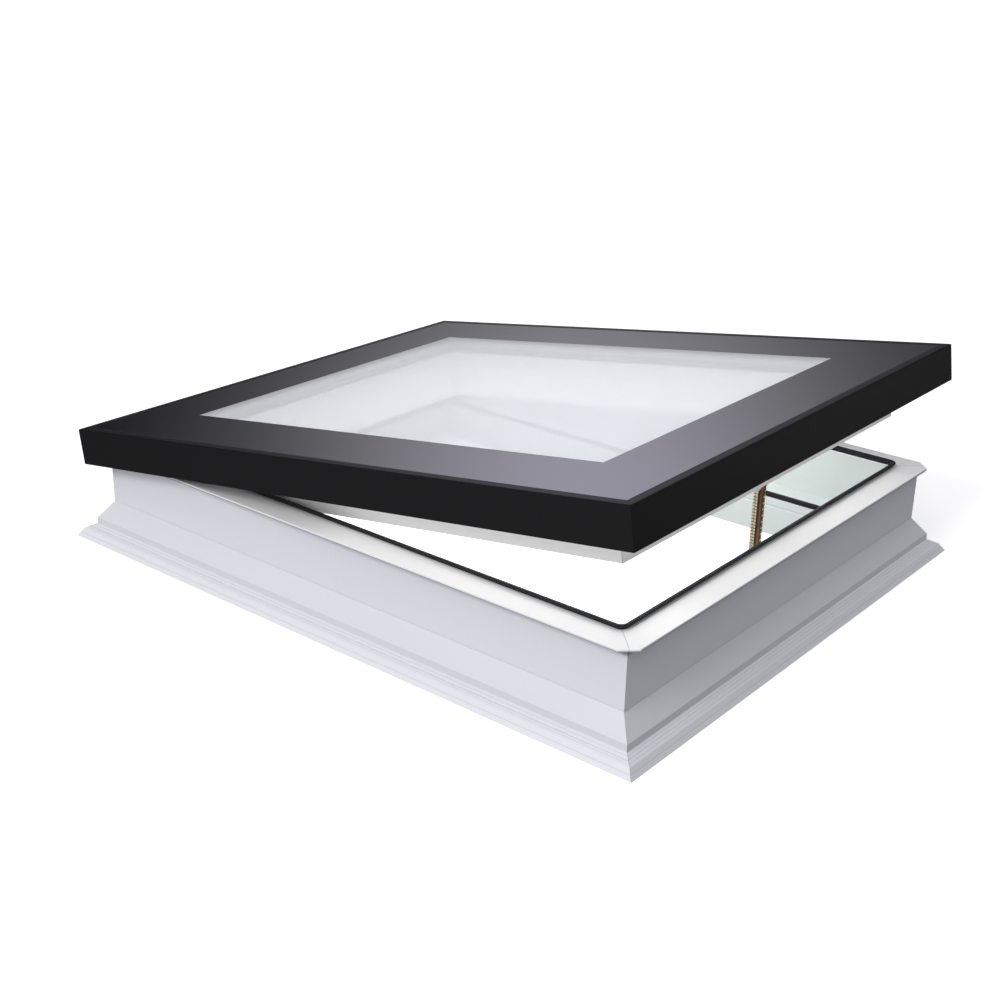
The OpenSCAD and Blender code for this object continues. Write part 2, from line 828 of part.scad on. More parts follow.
module bracket_pin() {
    half = bracket_ear_x + bracket_t;
    color("gray")
        swung()
            at_bracket() {
                rod_x(bracket_pin_r, 2 * half + 2);
                for (e = [-1, 1])
                    translate([e * (half + 0.9), 0, 0]) rod_x(bracket_pin_r + 1, 1.4);
            }
}

module bracket_screws()
    color("silver")
        swung()
            bracket_screw_places()
                mirror([0, 0, 1]) pan_screw(bracket_screw_r, bracket_screw_len, 1.8);

// --- opener -----------------------------------------------------------------------------

// the opener's own frame: X along the housing, Y from the chain's line, Z as the curb's
module at_opener() translate([0, chain_y, 0]) children();

// a box in the opener's frame, from one corner to the other
module obox(a, b) at_opener() translate(a) cube(b - a);

// the cut in the ledge that the housing hangs in
module opener_pocket()
    obox([-housing_left - pocket_fit - cap_t, -housing_out - pocket_fit, ledge_h - curb_wall - over],
         [housing_right + pocket_fit + cap_t, housing_inward + pocket_fit, ledge_h + over]);

// the places of the two screws in each end cap's ear, on the ledge
module opener_ear_places()
    at_opener()
        for (x = [-housing_left - cap_t - ear_len * 0.6, housing_right + cap_t + ear_len * 0.6],
             y = [-housing_out * 0.5, housing_inward * 0.5])
            translate([x, y, ledge_h])
                children();

ear_screw_r = 1.9;
module opener_ear_holes()
    opener_ear_places()
        translate([0, 0, -curb_wall - over])
            cylinder(r = ear_screw_r + screw_fit, h = curb_wall + 2 * over);

module opener_housing()
    color("gainsboro")
        difference() {
            obox([-housing_left, -housing_out, housing_z], [housing_right, housing_inward, housing_top]);
            obox([-housing_left - over, -housing_out + housing_wall, housing_z + housing_wall],
                 [housing_right + over, housing_inward - housing_wall, housing_top - housing_wall]);
            obox([-plate_w / 2 - 2, -chain_half - 1.6, housing_top - housing_wall - over],
                 [plate_w / 2 + 2, chain_half + 1.6, housing_top + over]);
            at_opener()
                translate([sprocket_x, housing_inward - housing_wall / 2, sprocket_z])
                    rod_y(bush_r, housing_wall + 2 * over);
        }

// an end cap: a plate over the housing's end, a plug into it and an ear on the ledge
module end_cap(dir, from)
    difference() {
        union() {
            obox([dir > 0 ? from : from - cap_t, -housing_out, housing_z],
                 [dir > 0 ? from + cap_t : from, housing_inward, ledge_h + cover_t]);
            obox([dir > 0 ? from - cap_t : from, -housing_out + housing_wall + seat_fit,
                  housing_z + housing_wall + seat_fit],
                 [dir > 0 ? from : from + cap_t, housing_inward - housing_wall - seat_fit,
                  housing_top - housing_wall - seat_fit]);
            obox([dir > 0 ? from : from - cap_t - ear_len, -housing_out, ledge_h],
                 [dir > 0 ? from + cap_t + ear_len : from, housing_inward, ledge_h + cover_t]);
        }
        opener_ear_places()
            translate([0, 0, -over]) cylinder(r = ear_screw_r + screw_fit, h = cover_t + 2 * over);
    }

board_z = housing_z + 22;
board_t = 1.6;
board_len = 56;
board_slot = 2;

module motor_end_cap()
    color("dimgray")
        difference() {
            end_cap(-1, -housing_left);
            obox([-housing_left + cap_t - board_slot, -housing_out + 2 * housing_wall,
                  board_z - screw_fit],
                 [-housing_left + cap_t + over, housing_inward - 2 * housing_wall,
                  board_z + board_t + screw_fit]);
        }

module storage_end_cap() color("dimgray") end_cap(1, housing_right);

// the control board is held in a slot of the end cap, with its parts on top
module control_board()
    color("darkgreen")
        union() {
            obox([-housing_left + cap_t - board_slot + screw_fit, -housing_out + 2 * housing_wall + screw_fit,
                  board_z],
                 [-housing_left + cap_t + board_len, housing_inward - 2 * housing_wall - screw_fit,
                  board_z + board_t]);
            for (k = [0:3])
                obox([-housing_left + cap_t + 8 + 12 * k, -8 + 3 * (k % 2), board_z + board_t / 2],
                     [-housing_left + cap_t + 15 + 12 * k, 3, board_z + board_t + 5 + 3 * (k % 2)]);
        }

// the gearbox stands beside the chain and carries the sprocket shaft's outer end
module gearbox()
    color("lightslategray")
        difference() {
            obox([sprocket_x - gearbox_size[0] + 12, gearbox_y - gearbox_size[1],
                  housing_z + housing_wall + seat_fit],
                 [sprocket_x + 12, gearbox_y, housing_z + housing_wall + seat_fit + gearbox_size[2] + 14]);
            at_opener()
                translate([sprocket_x, gearbox_y, sprocket_z])
                    rod_y(shaft_r + pin_fit, 2 * (gearbox_size[1] - 3));
        }

motor_z = housing_z + housing_wall + seat_fit + motor_r;
motor_y = -housing_out + housing_wall + seat_fit + motor_r;

module drive_motor()
    color("silver")
        at_opener()
            translate([sprocket_x - gearbox_size[0] + 12 - motor_len / 2, motor_y, motor_z])
                union() {
                    rod_x(motor_r, motor_len);
                    translate([-motor_len / 2 - 1.5, 0, 0]) rod_x(motor_r * 0.4, 5);
                }

module sprocket_shaft() {
    from = gearbox_y - gearbox_size[1] + 4;
    to = housing_inward;
    color("gray")
        at_opener()
            translate([sprocket_x, (from + to) / 2, sprocket_z]) rod_y(shaft_r, to - from);
}

module shaft_bush()
    color("goldenrod")
        at_opener()
            translate([sprocket_x, housing_inward - housing_wall, sprocket_z])
                rotate([90, 0, 0])
                    rotate_extrude()
                        polygon([[shaft_r + pin_fit, -housing_wall], [bush_r, -housing_wall], [bush_r, 0],
                                 [bush_r + 1.5, 0], [bush_r + 1.5, 1.5], [shaft_r + pin_fit, 1.5]]);

sprocket_t = 4;
tooth_tip = sprocket_r + 1.2;
gullet_r = chain_pin_r + 0.3;

// gullets on the pitch circle, with the first one where the chain's straight run starts
module chain_sprocket()
    color("darkgray")
        at_opener()
            translate([sprocket_x, 0, sprocket_z])
                difference() {
                    union() {
                        rod_y(tooth_tip, sprocket_t);
                        translate([0, (plate_gap + 1) * 0.5 + sprocket_t * 0.5, 0])
                            rod_y(shaft_r + 2.2, plate_gap + 1);
                    }
                    rod_y(shaft_r, 4 * sprocket_t);
                    for (k = [0:sprocket_teeth - 1])
                        rotate([0, k * 360 / sprocket_teeth, 0]) {
                            translate([-sprocket_r, 0, 0]) rod_y(gullet_r, 2 * sprocket_t);
                            translate([-sprocket_r - 5, -sprocket_t, -gullet_r])
                                cube([5, 2 * sprocket_t, 2 * gullet_r]);
                        }
                }

// the guide holds the chain's back round the bend, between the motor side and the housing's floor
guide_gap = 0.7;
guide_back = 3.2;
module chain_guide() {
    back_r = sprocket_r + plate_w - plate_tooth_side + guide_gap;
    floor_z = housing_z + housing_wall + seat_fit;
    color("ivory")
        difference() {
            obox([sprocket_x - back_r - guide_back, -chain_half, floor_z],
                 [sprocket_x + 40, chain_half, sprocket_z]);
            at_opener() translate([sprocket_x, 0, sprocket_z]) rod_y(back_r, 4 * chain_half);
            obox([sprocket_x, -2 * chain_half, sprocket_z - back_r],
                 [sprocket_x + 40 + over, 2 * chain_half, sprocket_z + over]);
        }
}

// one chain plate pair, from the pin at the origin up to the next pin; the inner pair is narrower.
// The corners by the sprocket are cut, so that plates two links apart clear each other in the bend
module chain_plates(inner) {
    off = inner ? plate_gap : plate_gap + plate_t - plate_lap;
    trim = inner ? inner_trim : 0;
    back = -(plate_w - plate_tooth_side) + trim;
    front = plate_tooth_side - trim;
    cut = plate_tooth_side * (2 - sqrt(2));
    foot = -plate_end;
    head = chain_pitch + plate_end;
    for (s = [-1, 1])
        translate([0, s > 0 ? off + plate_t : -off, 0])
            rotate([90, 0, 0])
                linear_extrude(plate_t)
                    polygon([[back, foot], [front - cut, foot], [front, foot + cut],
                             [front, head - cut], [front - cut, head], [back, head]]);
}

module chain_link(inner) {
    chain_plates(inner);
    rod_y(chain_pin_r, 2 * chain_half + 1.2);
}

// the push chain, fully run out: a straight run, the bend round the sprocket and a short tail
chain_tail = 2;
module push_chain()
    color([0.45, 0.32, 0.2])
        at_opener() {
            for (k = [0:chain_links - 1])
                translate([chain_x, 0, sprocket_z + k * chain_pitch]) chain_link(k % 2 == 0);
            for (k = [1:sprocket_teeth / 4])
                let (a = 180 + k * 360 / sprocket_teeth)
                    translate([sprocket_x + sprocket_r * cos(a), 0, sprocket_z + sprocket_r * sin(a)])
                        rotate([0, -(k - 0.5) * 360 / sprocket_teeth, 0]) chain_link(k % 2 == 0);
            for (k = [1:chain_tail])
                translate([sprocket_x + k * chain_pitch, 0, sprocket_z - sprocket_r])
                    rotate([0, -90, 0]) chain_link(k % 2 == 0);
            chain_end();
        }

// the chain's end block, with an eye round the bracket pin
module chain_end()
    difference() {
        union() {
            translate([-end_block[0] / 2, -end_block[1] / 2, chain_last_z - chain_pitch * 0.3])
                cube([end_block[0], end_block[1],
                      chain_top + end_block[1] / 2 - 1 - chain_last_z + chain_pitch * 0.3]);
            translate([chain_x, 0, chain_last_z]) rod_y(chain_pin_r, 2 * chain_half + 1.2);
        }
        translate([0, 0, chain_top]) rod_x(bracket_pin_r + end_eye_fit, 2 * end_block[0]);
    }

module opener_screws()
    color("silver")
        opener_ear_places() translate([0, 0, cover_t]) pan_screw(ear_screw_r, 10, 2);

// the cover closes the pocket between the end caps and carries the chain's exit bezel
cover_y = [-housing_out - pocket_fit - cover_lap + 0.2, housing_inward + pocket_fit + 2.5];
cover_screw_r = 1.4;
cover_side_gap = 0.3;
bezel_wall = 2;

module cover_screw_places()
    at_opener()
        for (k = [-2:2])
            if (k != 0)
                translate([k * 75, cover_y[0] + 2.4, ledge_h]) children();

module opener_cover()
    color("whitesmoke")
        difference() {
            obox([-housing_left + cover_side_gap, cover_y[0], ledge_h],
                 [housing_right - cover_side_gap, cover_y[1], ledge_h + cover_t]);
            obox([-plate_w / 2 - 0.8 - bezel_wall, -chain_half - 1 - bezel_wall, ledge_h - over],
                 [plate_w / 2 + 0.8 + bezel_wall, chain_half + 1 + bezel_wall, ledge_h + cover_t + over]);
            cover_screw_places()
                translate([0, 0, -over])
                    cylinder(r = cover_screw_r + screw_fit, h = cover_t + 2 * over);
        }

module cover_screws()
    color("silver")
        cover_screw_places() translate([0, 0, cover_t]) pan_screw(cover_screw_r, 7, 1.4);

module exit_bezel()
    color("black")
        difference() {
            union() {
                obox([-plate_w / 2 - 0.6 - bezel_wall, -chain_half - 0.8 - bezel_wall,
                      housing_top + seat_fit],
                     [plate_w / 2 + 0.6 + bezel_wall, chain_half + 0.8 + bezel_wall,
                      ledge_h + cover_t + 1]);
                obox([-plate_w / 2 - 2.6 - bezel_wall, -chain_half - 2.4 - bezel_wall, ledge_h + cover_t],
                     [plate_w / 2 + 2.6 + bezel_wall, chain_half + 2.4 + bezel_wall,
                      ledge_h + cover_t + 1.2]);
            }
            obox([-plate_w / 2 - 0.6, -chain_half - 0.8, housing_top - over],
                 [plate_w / 2 + 0.6, chain_half + 0.8, ledge_h + cover_t + 2 + over]);
        }

// --- the nodes --------------------------------------------------------------------------

curb_front();
curb_right();
curb_rear();
curb_left();
insulation_front();
insulation_right();
insulation_rear();
insulation_left();
flange_seal();
ledge_seal();
cable_grommet();
curb_leaf_left();
curb_leaf_right();
hinge_pin_left();
hinge_pin_right();
curb_leaf_screws();
opener_housing();
motor_end_cap();
storage_end_cap();
drive_motor();
gearbox();
control_board();
chain_guide();
shaft_bush();
push_chain();
opener_screws();
opener_cover();
cover_screws();
exit_bezel();
chain_sprocket();
sprocket_shaft();
sash_front();
sash_right();
sash_rear();
sash_left();
tube_front();
tube_right();
tube_rear();
tube_left();
skirt_front();
skirt_right();
skirt_rear();
skirt_left();
skirt_cleats();
skirt_screws();
outer_pane();
inner_pane();
spacer_bar();
edge_seal();
glazing_tape();
glazing_gasket();
setting_blocks();
sash_leaf_left();
sash_leaf_right();
sash_leaf_screws();
chain_bracket();
bracket_pin();
bracket_screws();
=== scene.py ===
"""Looks of an opening flat-roof skylight, built round its CAD frame.

Metres. Origin: centre of the curb's underside, +Z up, +Y towards the hinges, X along the
hinge line. The sash is open at rest; a piece of the sash is worked out closed and then swung
open about the hinge pins, as the frame's joint says.
"""

import json
from math import cos, pi, radians, sin

import bpy
import numpy as np
from bpy.props import FloatProperty, FloatVectorProperty, PointerProperty
from mathutils import Matrix, Vector


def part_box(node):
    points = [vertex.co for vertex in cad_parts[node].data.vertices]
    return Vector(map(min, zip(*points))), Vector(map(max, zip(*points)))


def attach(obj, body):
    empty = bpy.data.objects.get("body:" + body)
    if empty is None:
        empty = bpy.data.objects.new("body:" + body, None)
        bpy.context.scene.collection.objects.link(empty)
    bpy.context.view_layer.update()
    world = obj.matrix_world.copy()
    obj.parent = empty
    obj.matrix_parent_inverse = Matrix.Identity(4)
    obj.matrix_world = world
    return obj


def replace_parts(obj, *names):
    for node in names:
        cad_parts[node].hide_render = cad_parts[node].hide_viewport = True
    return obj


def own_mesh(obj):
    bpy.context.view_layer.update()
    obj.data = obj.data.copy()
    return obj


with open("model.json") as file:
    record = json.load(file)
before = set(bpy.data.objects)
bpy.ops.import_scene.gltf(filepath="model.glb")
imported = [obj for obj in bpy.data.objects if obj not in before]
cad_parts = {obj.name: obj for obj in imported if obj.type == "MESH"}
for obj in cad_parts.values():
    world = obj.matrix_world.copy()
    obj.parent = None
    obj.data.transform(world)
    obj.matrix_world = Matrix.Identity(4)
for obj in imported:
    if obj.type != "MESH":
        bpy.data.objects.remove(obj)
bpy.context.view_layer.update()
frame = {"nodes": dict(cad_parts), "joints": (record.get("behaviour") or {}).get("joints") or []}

bl_info = {
    "name": "Flat Roof Skylight",
    "version": (1, 0, 0),
    "blender": (4, 5, 0),
    "location": "3D View > Sidebar > Skylight",
    "description": "Finishes and fine parts of an opening flat-roof skylight",
    "category": "Object",
}

NODES = frame["nodes"]
JOINTS = {joint["name"]: joint for joint in frame["joints"]}
HINGE_Y, HINGE_Z = JOINTS["sash_hinge"]["pos_m"][1:]
OPEN_ANGLE = radians(-JOINTS["sash_hinge"]["range_deg"][0])
SPROCKET = Vector(JOINTS["sprocket_spin"]["pos_m"])
HALF_W, HALF_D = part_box("curb_right")[1].x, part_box("curb_rear")[1].y
CURB_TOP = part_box("curb_front")[1].z
SASH_HALF_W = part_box("skirt_right")[1].x
# the closed sash stands back from the curb's outline by as much on each side, and 2 mm more front and rear
SASH_HALF_D = HALF_D - (HALF_W - SASH_HALF_W) - 0.002


# --- places -------------------------------------------------------------------------------


def swung_closed(points):
    """Points of the open sash, turned back about the hinge pins to its closed place."""
    p = np.array(points, float)
    y, z = p[..., 1] - HINGE_Y, p[..., 2] - HINGE_Z
    c, s = cos(OPEN_ANGLE), sin(OPEN_ANGLE)
    p[..., 1], p[..., 2] = HINGE_Y + y * c - z * s, HINGE_Z + y * s + z * c
    return p


def vertices(node):
    """A CAD node's vertices as an array of points."""
    mesh = NODES[node].data
    co = np.empty(len(mesh.vertices) * 3, np.float32)
    mesh.vertices.foreach_get("co", co)
    return co.reshape(-1, 3).astype(float)


# --- meshes -------------------------------------------------------------------------------


def grid_faces(rows, columns, wrap_rows=False, wrap_columns=False):
    """Quads between neighbouring points of a grid of rows by columns."""
    r = np.arange(rows if wrap_rows else rows - 1)
    c = np.arange(columns if wrap_columns else columns - 1)
    r, c = (a.ravel() for a in np.meshgrid(r, c, indexing="ij"))
    r1, c1 = (r + 1) % rows, (c + 1) % columns
    return np.stack([r * columns + c, r * columns + c1, r1 * columns + c1, r1 * columns + c], 1)


def volume(points, faces):
    """Signed volume of a closed mesh: the sum of its fan triangles' tetrahedra."""
    total = 0.0
    for face in faces:
        p = points[np.asarray(face)]
        total += np.einsum("ij,ij->", np.cross(p[1:-1], p[2:]), np.broadcast_to(p[0], p[2:].shape))
    return total


def outward(points, faces):
    """The same solid with its faces pointing outwards."""
    if volume(points, faces) < 0:
        faces = [list(reversed(list(f))) for f in faces]
    return np.asarray(points, float), [list(map(int, f)) for f in faces]


def joined(*solids):
    """Several solids as one list of points and faces."""
    points, faces, first = [], [], 0
    for p, f in solids:
        points.append(p)
        faces += [[i + first for i in face] for face in f]
        first += len(p)
    return np.concatenate(points), faces


def tube_solid(rings):
    """A closed solid through rings of points (ring, point, 3): quads between the rings, and a face on each
    end."""
    rings = np.asarray(rings, float)
    n, m = rings.shape[:2]
    faces = grid_faces(n, m, wrap_columns=True).tolist()
    faces += [list(range(m)), list(range((n - 1) * m, n * m))[::-1]]
    return outward(rings.reshape(-1, 3), faces)


def ring_solid(loops):
    """A closed ring through loops of points (loop, point, 3), joined round both ways."""
    loops = np.asarray(loops, float)
    n, m = loops.shape[:2]
    return outward(loops.reshape(-1, 3), grid_faces(n, m, True, True).tolist())


def turned(profile, segments):
    """A profile of [radius, height] turned about +Z, as rings of points. A point on the axis keeps a tiny
    radius, so that each ring has as many points."""
    profile = np.asarray(profile, float)
    a = np.arange(segments) * 2 * pi / segments
    r, z = np.maximum(profile[:, 0], 1e-6)[:, None], profile[:, 1][:, None]
    return np.stack([r * np.cos(a), r * np.sin(a), z + 0 * a], -1)


def smoothed(outline, rounds):
    """A closed outline with its corners cut at a quarter and three quarters of each edge, rounds times
    over."""
    p = np.asarray(outline, float)
    for _ in range(rounds):
        q = np.roll(p, -1, 0)
        p = np.stack([0.75 * p + 0.25 * q, 0.25 * p + 0.75 * q], 1).reshape(-1, p.shape[1])
    return p


def along_rounded_frame(section, inset, radius, steps):
    """A section of [inset, height] carried round the curb: each point keeps its distance from the curb's
    outline, and turns about the corner's centre, which lies radius inside the line at inset."""
    section = np.asarray(section, float)
    loops = []
    for corner, (sx, sy) in enumerate(((1, 1), (-1, 1), (-1, -1), (1, -1))):
        centre = np.array([sx * (HALF_W - inset - radius), sy * (HALF_D - inset - radius)])
        for a in np.linspace(corner, corner + 1, steps + 1) * pi / 2:
            reach = radius - (section[:, 0] - inset)
            flat = centre + reach[:, None] * np.array([cos(a), sin(a)])
            loops.append(np.column_stack([flat, section[:, 1]]))
    return ring_solid(loops)


def stamped(outline, thickness, edge):
    """A plate: an outline in [x, z], thickness deep along Y from y = 0, with both rims broken by edge."""
    outline = np.asarray(outline, float)
    centre = (outline.max(0) + outline.min(0)) / 2
    size = (outline.max(0) - outline.min(0)) / 2
    small = centre + (outline - centre) * (size - edge) / size
    rings = [(small, 0.0), (outline, edge), (outline, thickness - edge), (small, thickness)]
    return tube_solid([np.column_stack([o[:, 0], np.full(len(o), y), o[:, 1]]) for o, y in rings])


def moved(solid, matrix):
    """A solid taken through a 4x4 matrix."""
    points, faces = solid
    m = np.array(matrix, float)
    return points @ m[:3, :3].T + m[:3, 3], faces


def new_piece(name, solid, material, body, crease=35.0):
    """Makes a mesh object at the origin that rides on a body."""
    points, faces = solid
    mesh = bpy.data.meshes.new(name)
    mesh.from_pydata(points.tolist(), [], faces)
    mesh.polygons.foreach_set("use_smooth", np.ones(len(faces), bool))
    mesh.set_sharp_from_angle(angle=radians(crease))
    for m in material if isinstance(material, (list, tuple)) else [material]:
        mesh.materials.append(m)
    mesh.validate()
    piece = bpy.data.objects.new(name, mesh)
    bpy.context.scene.collection.objects.link(piece)
    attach(piece, body)
    return piece


def dress(nodes, material, round_edge=0.0, angle=30.0):
    """Gives CAD nodes a material, and rounds their sharp edges with live modifiers."""
    for name in nodes:
        node = NODES[name]
        node.data.materials.clear()
        node.data.materials.append(material)
        if round_edge:
            weld = node.modifiers.new("join", "WELD")
            weld.merge_threshold = 1e-6
            bevel = node.modifiers.new("edges", "BEVEL")
            bevel.width, bevel.segments = round_edge, 2
            bevel.limit_method, bevel.angle_limit = "ANGLE", radians(angle)
            bevel.harden_normals = True


# --- materials ----------------------------------------------------------------------------


class Value:
    """A number socket whose arithmetic adds Math nodes to its material."""

    def __init__(self, finish, socket):
        self.finish, self.socket = finish, socket

    def math(self, operation, *values):
        node = self.finish.node("Math", {"operation": operation}, *values)
        return Value(self.finish, node.outputs[0])

    def __add__(self, other):
        return self.math("ADD", self, other)

    def __sub__(self, other):
        return self.math("SUBTRACT", self, other)

    def __rsub__(self, other):
        return self.math("SUBTRACT", other, self)

    def __mul__(self, other):
        return self.math("MULTIPLY", self, other)

    def __truediv__(self, other):
        return self.math("DIVIDE", self, other)

    def __abs__(self):
        return self.math("ABSOLUTE", self)

    __radd__, __rmul__ = __add__, __mul__

    def least(self, other):
        return self.math("MINIMUM", self, other)

    def above(self, edge, soft):
        """0 below edge and 1 above it, with a smooth rise soft wide."""
        settings = {"interpolation_type": "SMOOTHSTEP"}
        ramp = self.finish.node("MapRange", settings, self, edge - soft / 2, edge + soft / 2, 0.0, 1.0)
        return Value(self.finish, ramp.outputs[0])

    def line(self, at, width, soft):
        """1 on a line of that width at one value, and 0 away from it."""
        return 1 - abs(self - at).above(width / 2 + soft / 2, soft)

    def bell(self, at, spread):
        """1 at one value, falling off on both sides: exp(-d^2 / 2) with d the distance over the spread."""
        d = (self - at) / spread
        return self.math("EXPONENT", d * d * -0.5)


class Finish:
    """A material, or another holder of shader nodes, and the nodes that make it."""

    def __init__(self, name, holder=None):
        self.holder = holder or bpy.data.materials.new(name)
        self.holder.use_nodes = True
        self.tree = self.holder.node_tree
        self.tree.nodes.clear()

    def node(self, kind, settings=None, *values, **named):
        """Adds a shader node: its settings come first, then the values or links of its sockets, in order
        or by name with _ for a space."""
        node = self.tree.nodes.new("ShaderNode" + kind)
        for key, value in (settings or {}).items():
            setattr(node, key, value)
        sockets = list(zip(node.inputs, values))
        sockets += [(node.inputs[key.replace("_", " ")], value) for key, value in named.items()]
        for socket, value in sockets:
            self.put(socket, value)
        return node

    def put(self, socket, value):
        """Links a value to a socket, or sets the socket to a number or a colour."""
        if isinstance(value, Value):
            self.tree.links.new(value.socket, socket)
        elif isinstance(value, bpy.types.NodeSocket):
            self.tree.links.new(value, socket)
        elif value is not None:
            wide = hasattr(socket.default_value, "__len__") and len(socket.default_value) == 4
            socket.default_value = (*value, 1.0) if wide and len(value) == 3 else value

    def place(self):
        """X, Y and Z of the point on the object, in metres."""
        xyz = self.node("SeparateXYZ", None, self.node("TexCoord").outputs["Object"])
        return [Value(self, socket) for socket in xyz.outputs]

    def place_closed(self):
        """X, Y and Z of the point as if the sash were closed: the turn about the hinge pins, undone."""
        x, y, z = self.place()
        y, z, c, s = y - HINGE_Y, z - HINGE_Z, cos(OPEN_ANGLE), sin(OPEN_ANGLE)
        return x, y * c - z * s + HINGE_Y, y * s + z * c + HINGE_Z

    def joined(self, x, y, z):
        """Three numbers as one vector."""
        return self.node("CombineXYZ", None, x, y, z).outputs[0]

    def noise(self, where, scale, detail=2.0, rough=0.5):
        """Smooth noise between 0 and 1. where is a vector socket."""
        node = self.node("TexNoise", None, where, Scale=scale, Detail=detail, Roughness=rough)
        return Value(self, node.outputs["Fac"])

    def wave(self, along, pitch):
        """A number that swings between 0 and 1 along a line, once in each pitch."""
        turn = along * (2 * pi / pitch)
        return turn.math("SINE", turn) * 0.5 + 0.5

    def cells(self, where, scale, feature="F1", output="Distance"):
        """Cells round scattered points."""
        node = self.node("TexVoronoi", {"feature": feature}, where, Scale=scale)
        return node.outputs[output]

    def mix(self, share, first, second):
        """A colour between two, as far as share says."""
        node = self.node("Mix", {"data_type": "RGBA"})
        for socket, value in zip((node.inputs[0], node.inputs[6], node.inputs[7]), (share, first, second)):
            self.put(socket, value)
        return node.outputs[2]

    def shade(self, colour, amount):
        """A colour made darker by a number between 0 and 1."""
        return self.mix(amount, colour, (0.0, 0.0, 0.0))

    def bump(self, height, depth, normal=None):
        """A normal that follows a height between 0 and 1, depth metres deep."""
        node = self.node("Bump", None, Strength=1.0, Distance=depth, Height=height, Normal=normal)
        return node.outputs[0]

    def pane(self, light, film, dust, share):
        """See-through glass: light passes in one colour through a film of dust, and share of what glass
        mirrors, 0.04 + 0.96 (1 - cos)^5, is mirrored."""
        facing = Value(self, self.node("LayerWeight", None, 0.5).outputs["Facing"])
        mirror = (0.04 + 0.96 * facing.math("POWER", facing, 5.0)) * share
        through = self.node("BsdfTransparent", None, (*light, 1.0)).outputs[0]
        dull = self.node("BsdfDiffuse", None, (*dust, 1.0)).outputs[0]
        gloss = self.node("BsdfGlossy", None, (1.0, 1.0, 1.0, 1.0), 0.02).outputs[0]
        hazy = self.node("MixShader", None, film, through, dull).outputs[0]
        return self.node("MixShader", None, mirror, hazy, gloss).outputs[0]

    def solid(self, colour, roughness, normal=None, **fixed):
        """A Principled shader."""
        fixed.update(Base_Color=colour, Roughness=roughness, Normal=normal)
        return self.node("BsdfPrincipled", None, **fixed).outputs[0]

    def show(self, shader, output="OutputMaterial"):
        """Makes the shader the material's surface, and returns the material."""
        self.node(output, None, shader)
        return self.holder


def extrusion_lines(f, across, along, scale):
    """Fine lines left by a die: noise that is long along the run and short across it."""
    return f.noise(f.joined(across, along * 0.01, 0.0), scale, 3.0, 0.6)


def side_inset(half_w, half_d, x, y):
    """Distance in from a rectangle's outline and place along the run, for whichever side is nearer, and how
    far the point is from the mitre between the two."""
    in_x, in_y = half_w - abs(x), half_d - abs(y)
    front = (in_x - in_y).above(0.0, 1e-5)
    return in_x.least(in_y), front * x + (1 - front) * y, in_x - in_y


# the curb's profile outside: a toe, an upright riser, a sloping step, the upright wall, and a flange whose
# lip overhangs the wall
TOE_TOP, RISER_FOOT, RISER_HEAD = 0.022, 0.021, 0.0312
WALL_FOOT, WALL_HEAD = 0.060, 0.145
LIP_FOOT, LIP_HEAD = CURB_TOP - 0.008, CURB_TOP - 0.0024
LIT_CROWN_FOOT = CURB_TOP - 0.001
# insets that part the outer faces from the inner ones, below the flange and on it, and the inner wall's
OUTER_TO, LIP_TO, INNER_FROM = 0.05, 0.07, 0.077
TOE_SCORES = (0.0045, 0.0125, 0.0205)
SCORE_W = 0.0004


def curb_plastic(colour, lining, crown, mitre=0.0007):
    """Extruded hard plastic: die lines along each side, a fine hatched key on the upright wall, scores on
    the toe, a welded mitre at each corner, painted shade with a green cast on the inner walls, a painted
    highlight that makes the flange's top lighter and warmer, a painted shadow on the flange's lip and on
    the wall just under it, painted shade on the riser and the step, and a little dust on the toe."""
    f = Finish("curb plastic")
    x, y, z = f.place()
    inset, along, off_mitre = side_inset(HALF_W, HALF_D, x, y)
    lines = extrusion_lines(f, inset + z, along, 700.0)
    broad = f.noise(f.joined(along * 0.4, inset, z), 9.0, 3.0, 0.6)
    weld = off_mitre.line(0.0, mitre, mitre * 0.6)

    outer = 1 - inset.above(OUTER_TO, 0.002)
    riser_head = z.above(RISER_HEAD, 0.0008)
    riser = z.above(RISER_FOOT, 0.0008) * (1 - riser_head) * outer
    step = riser_head * (1 - z.above(WALL_FOOT + 0.002, 0.002)) * outer
    wall = z.above(WALL_FOOT, 0.002) * (1 - z.above(WALL_HEAD, 0.002)) * outer
    lip = z.above(LIP_FOOT, 0.003) * (1 - z.above(LIP_HEAD, 0.0006)) * (1 - inset.above(LIP_TO, 0.002))
    below_lip = wall * z.above(WALL_HEAD - 0.008, 0.003)
    toe = (1 - z.above(TOE_TOP, 0.0004)) * z.above(0.002, 0.001)
    scores = sum(inset.line(at, SCORE_W, SCORE_W) for at in TOE_SCORES) * toe
    key = (f.noise(f.joined(along * 1.6, inset, z), 900.0, 1.0) - 0.5) * 0.6
    hatch = f.wave(along, 0.0026) * 0.7 + f.wave(z, 0.0021) * 0.3
    dust = (1 - z.above(0.03, 0.05)) * broad

    tint = f.mix(lines * 0.16, colour, [c * 0.86 for c in colour])
    # painted shade: the inner walls are painted darker with a green cast, standing in for shade and for
    # light that came through the glass
    tint = f.mix(inset.above(INNER_FROM, 0.001), tint, lining)
    # painted highlight: the flange's top is painted lighter and warmer than the curb's sides
    tint = f.mix(z.above(LIT_CROWN_FOOT, 0.0006), tint, crown)
    tint = f.mix(dust * 0.10, tint, (0.45, 0.44, 0.43))
    # painted shade: a painted shadow on the flange's lip and on the wall just under it, and painted shade
    # on the riser and on the step
    shadow = lip * 0.50 + below_lip * 0.45 + step * 0.07 + riser * 0.12
    marks = weld * 0.22 + wall * (key * 0.16 + hatch * 0.055) + scores * 0.14
    tint = f.shade(tint, marks + shadow)
    height = lines * 0.25 + wall * (key + (1 - hatch) * 0.8) - weld * 1.5 - scores
    rough = 0.42 + lines * 0.10 + wall * 0.12 + broad * 0.06
    return f.show(f.solid(tint, rough, f.bump(height, 0.00009), Specular_IOR_Level=0.5))


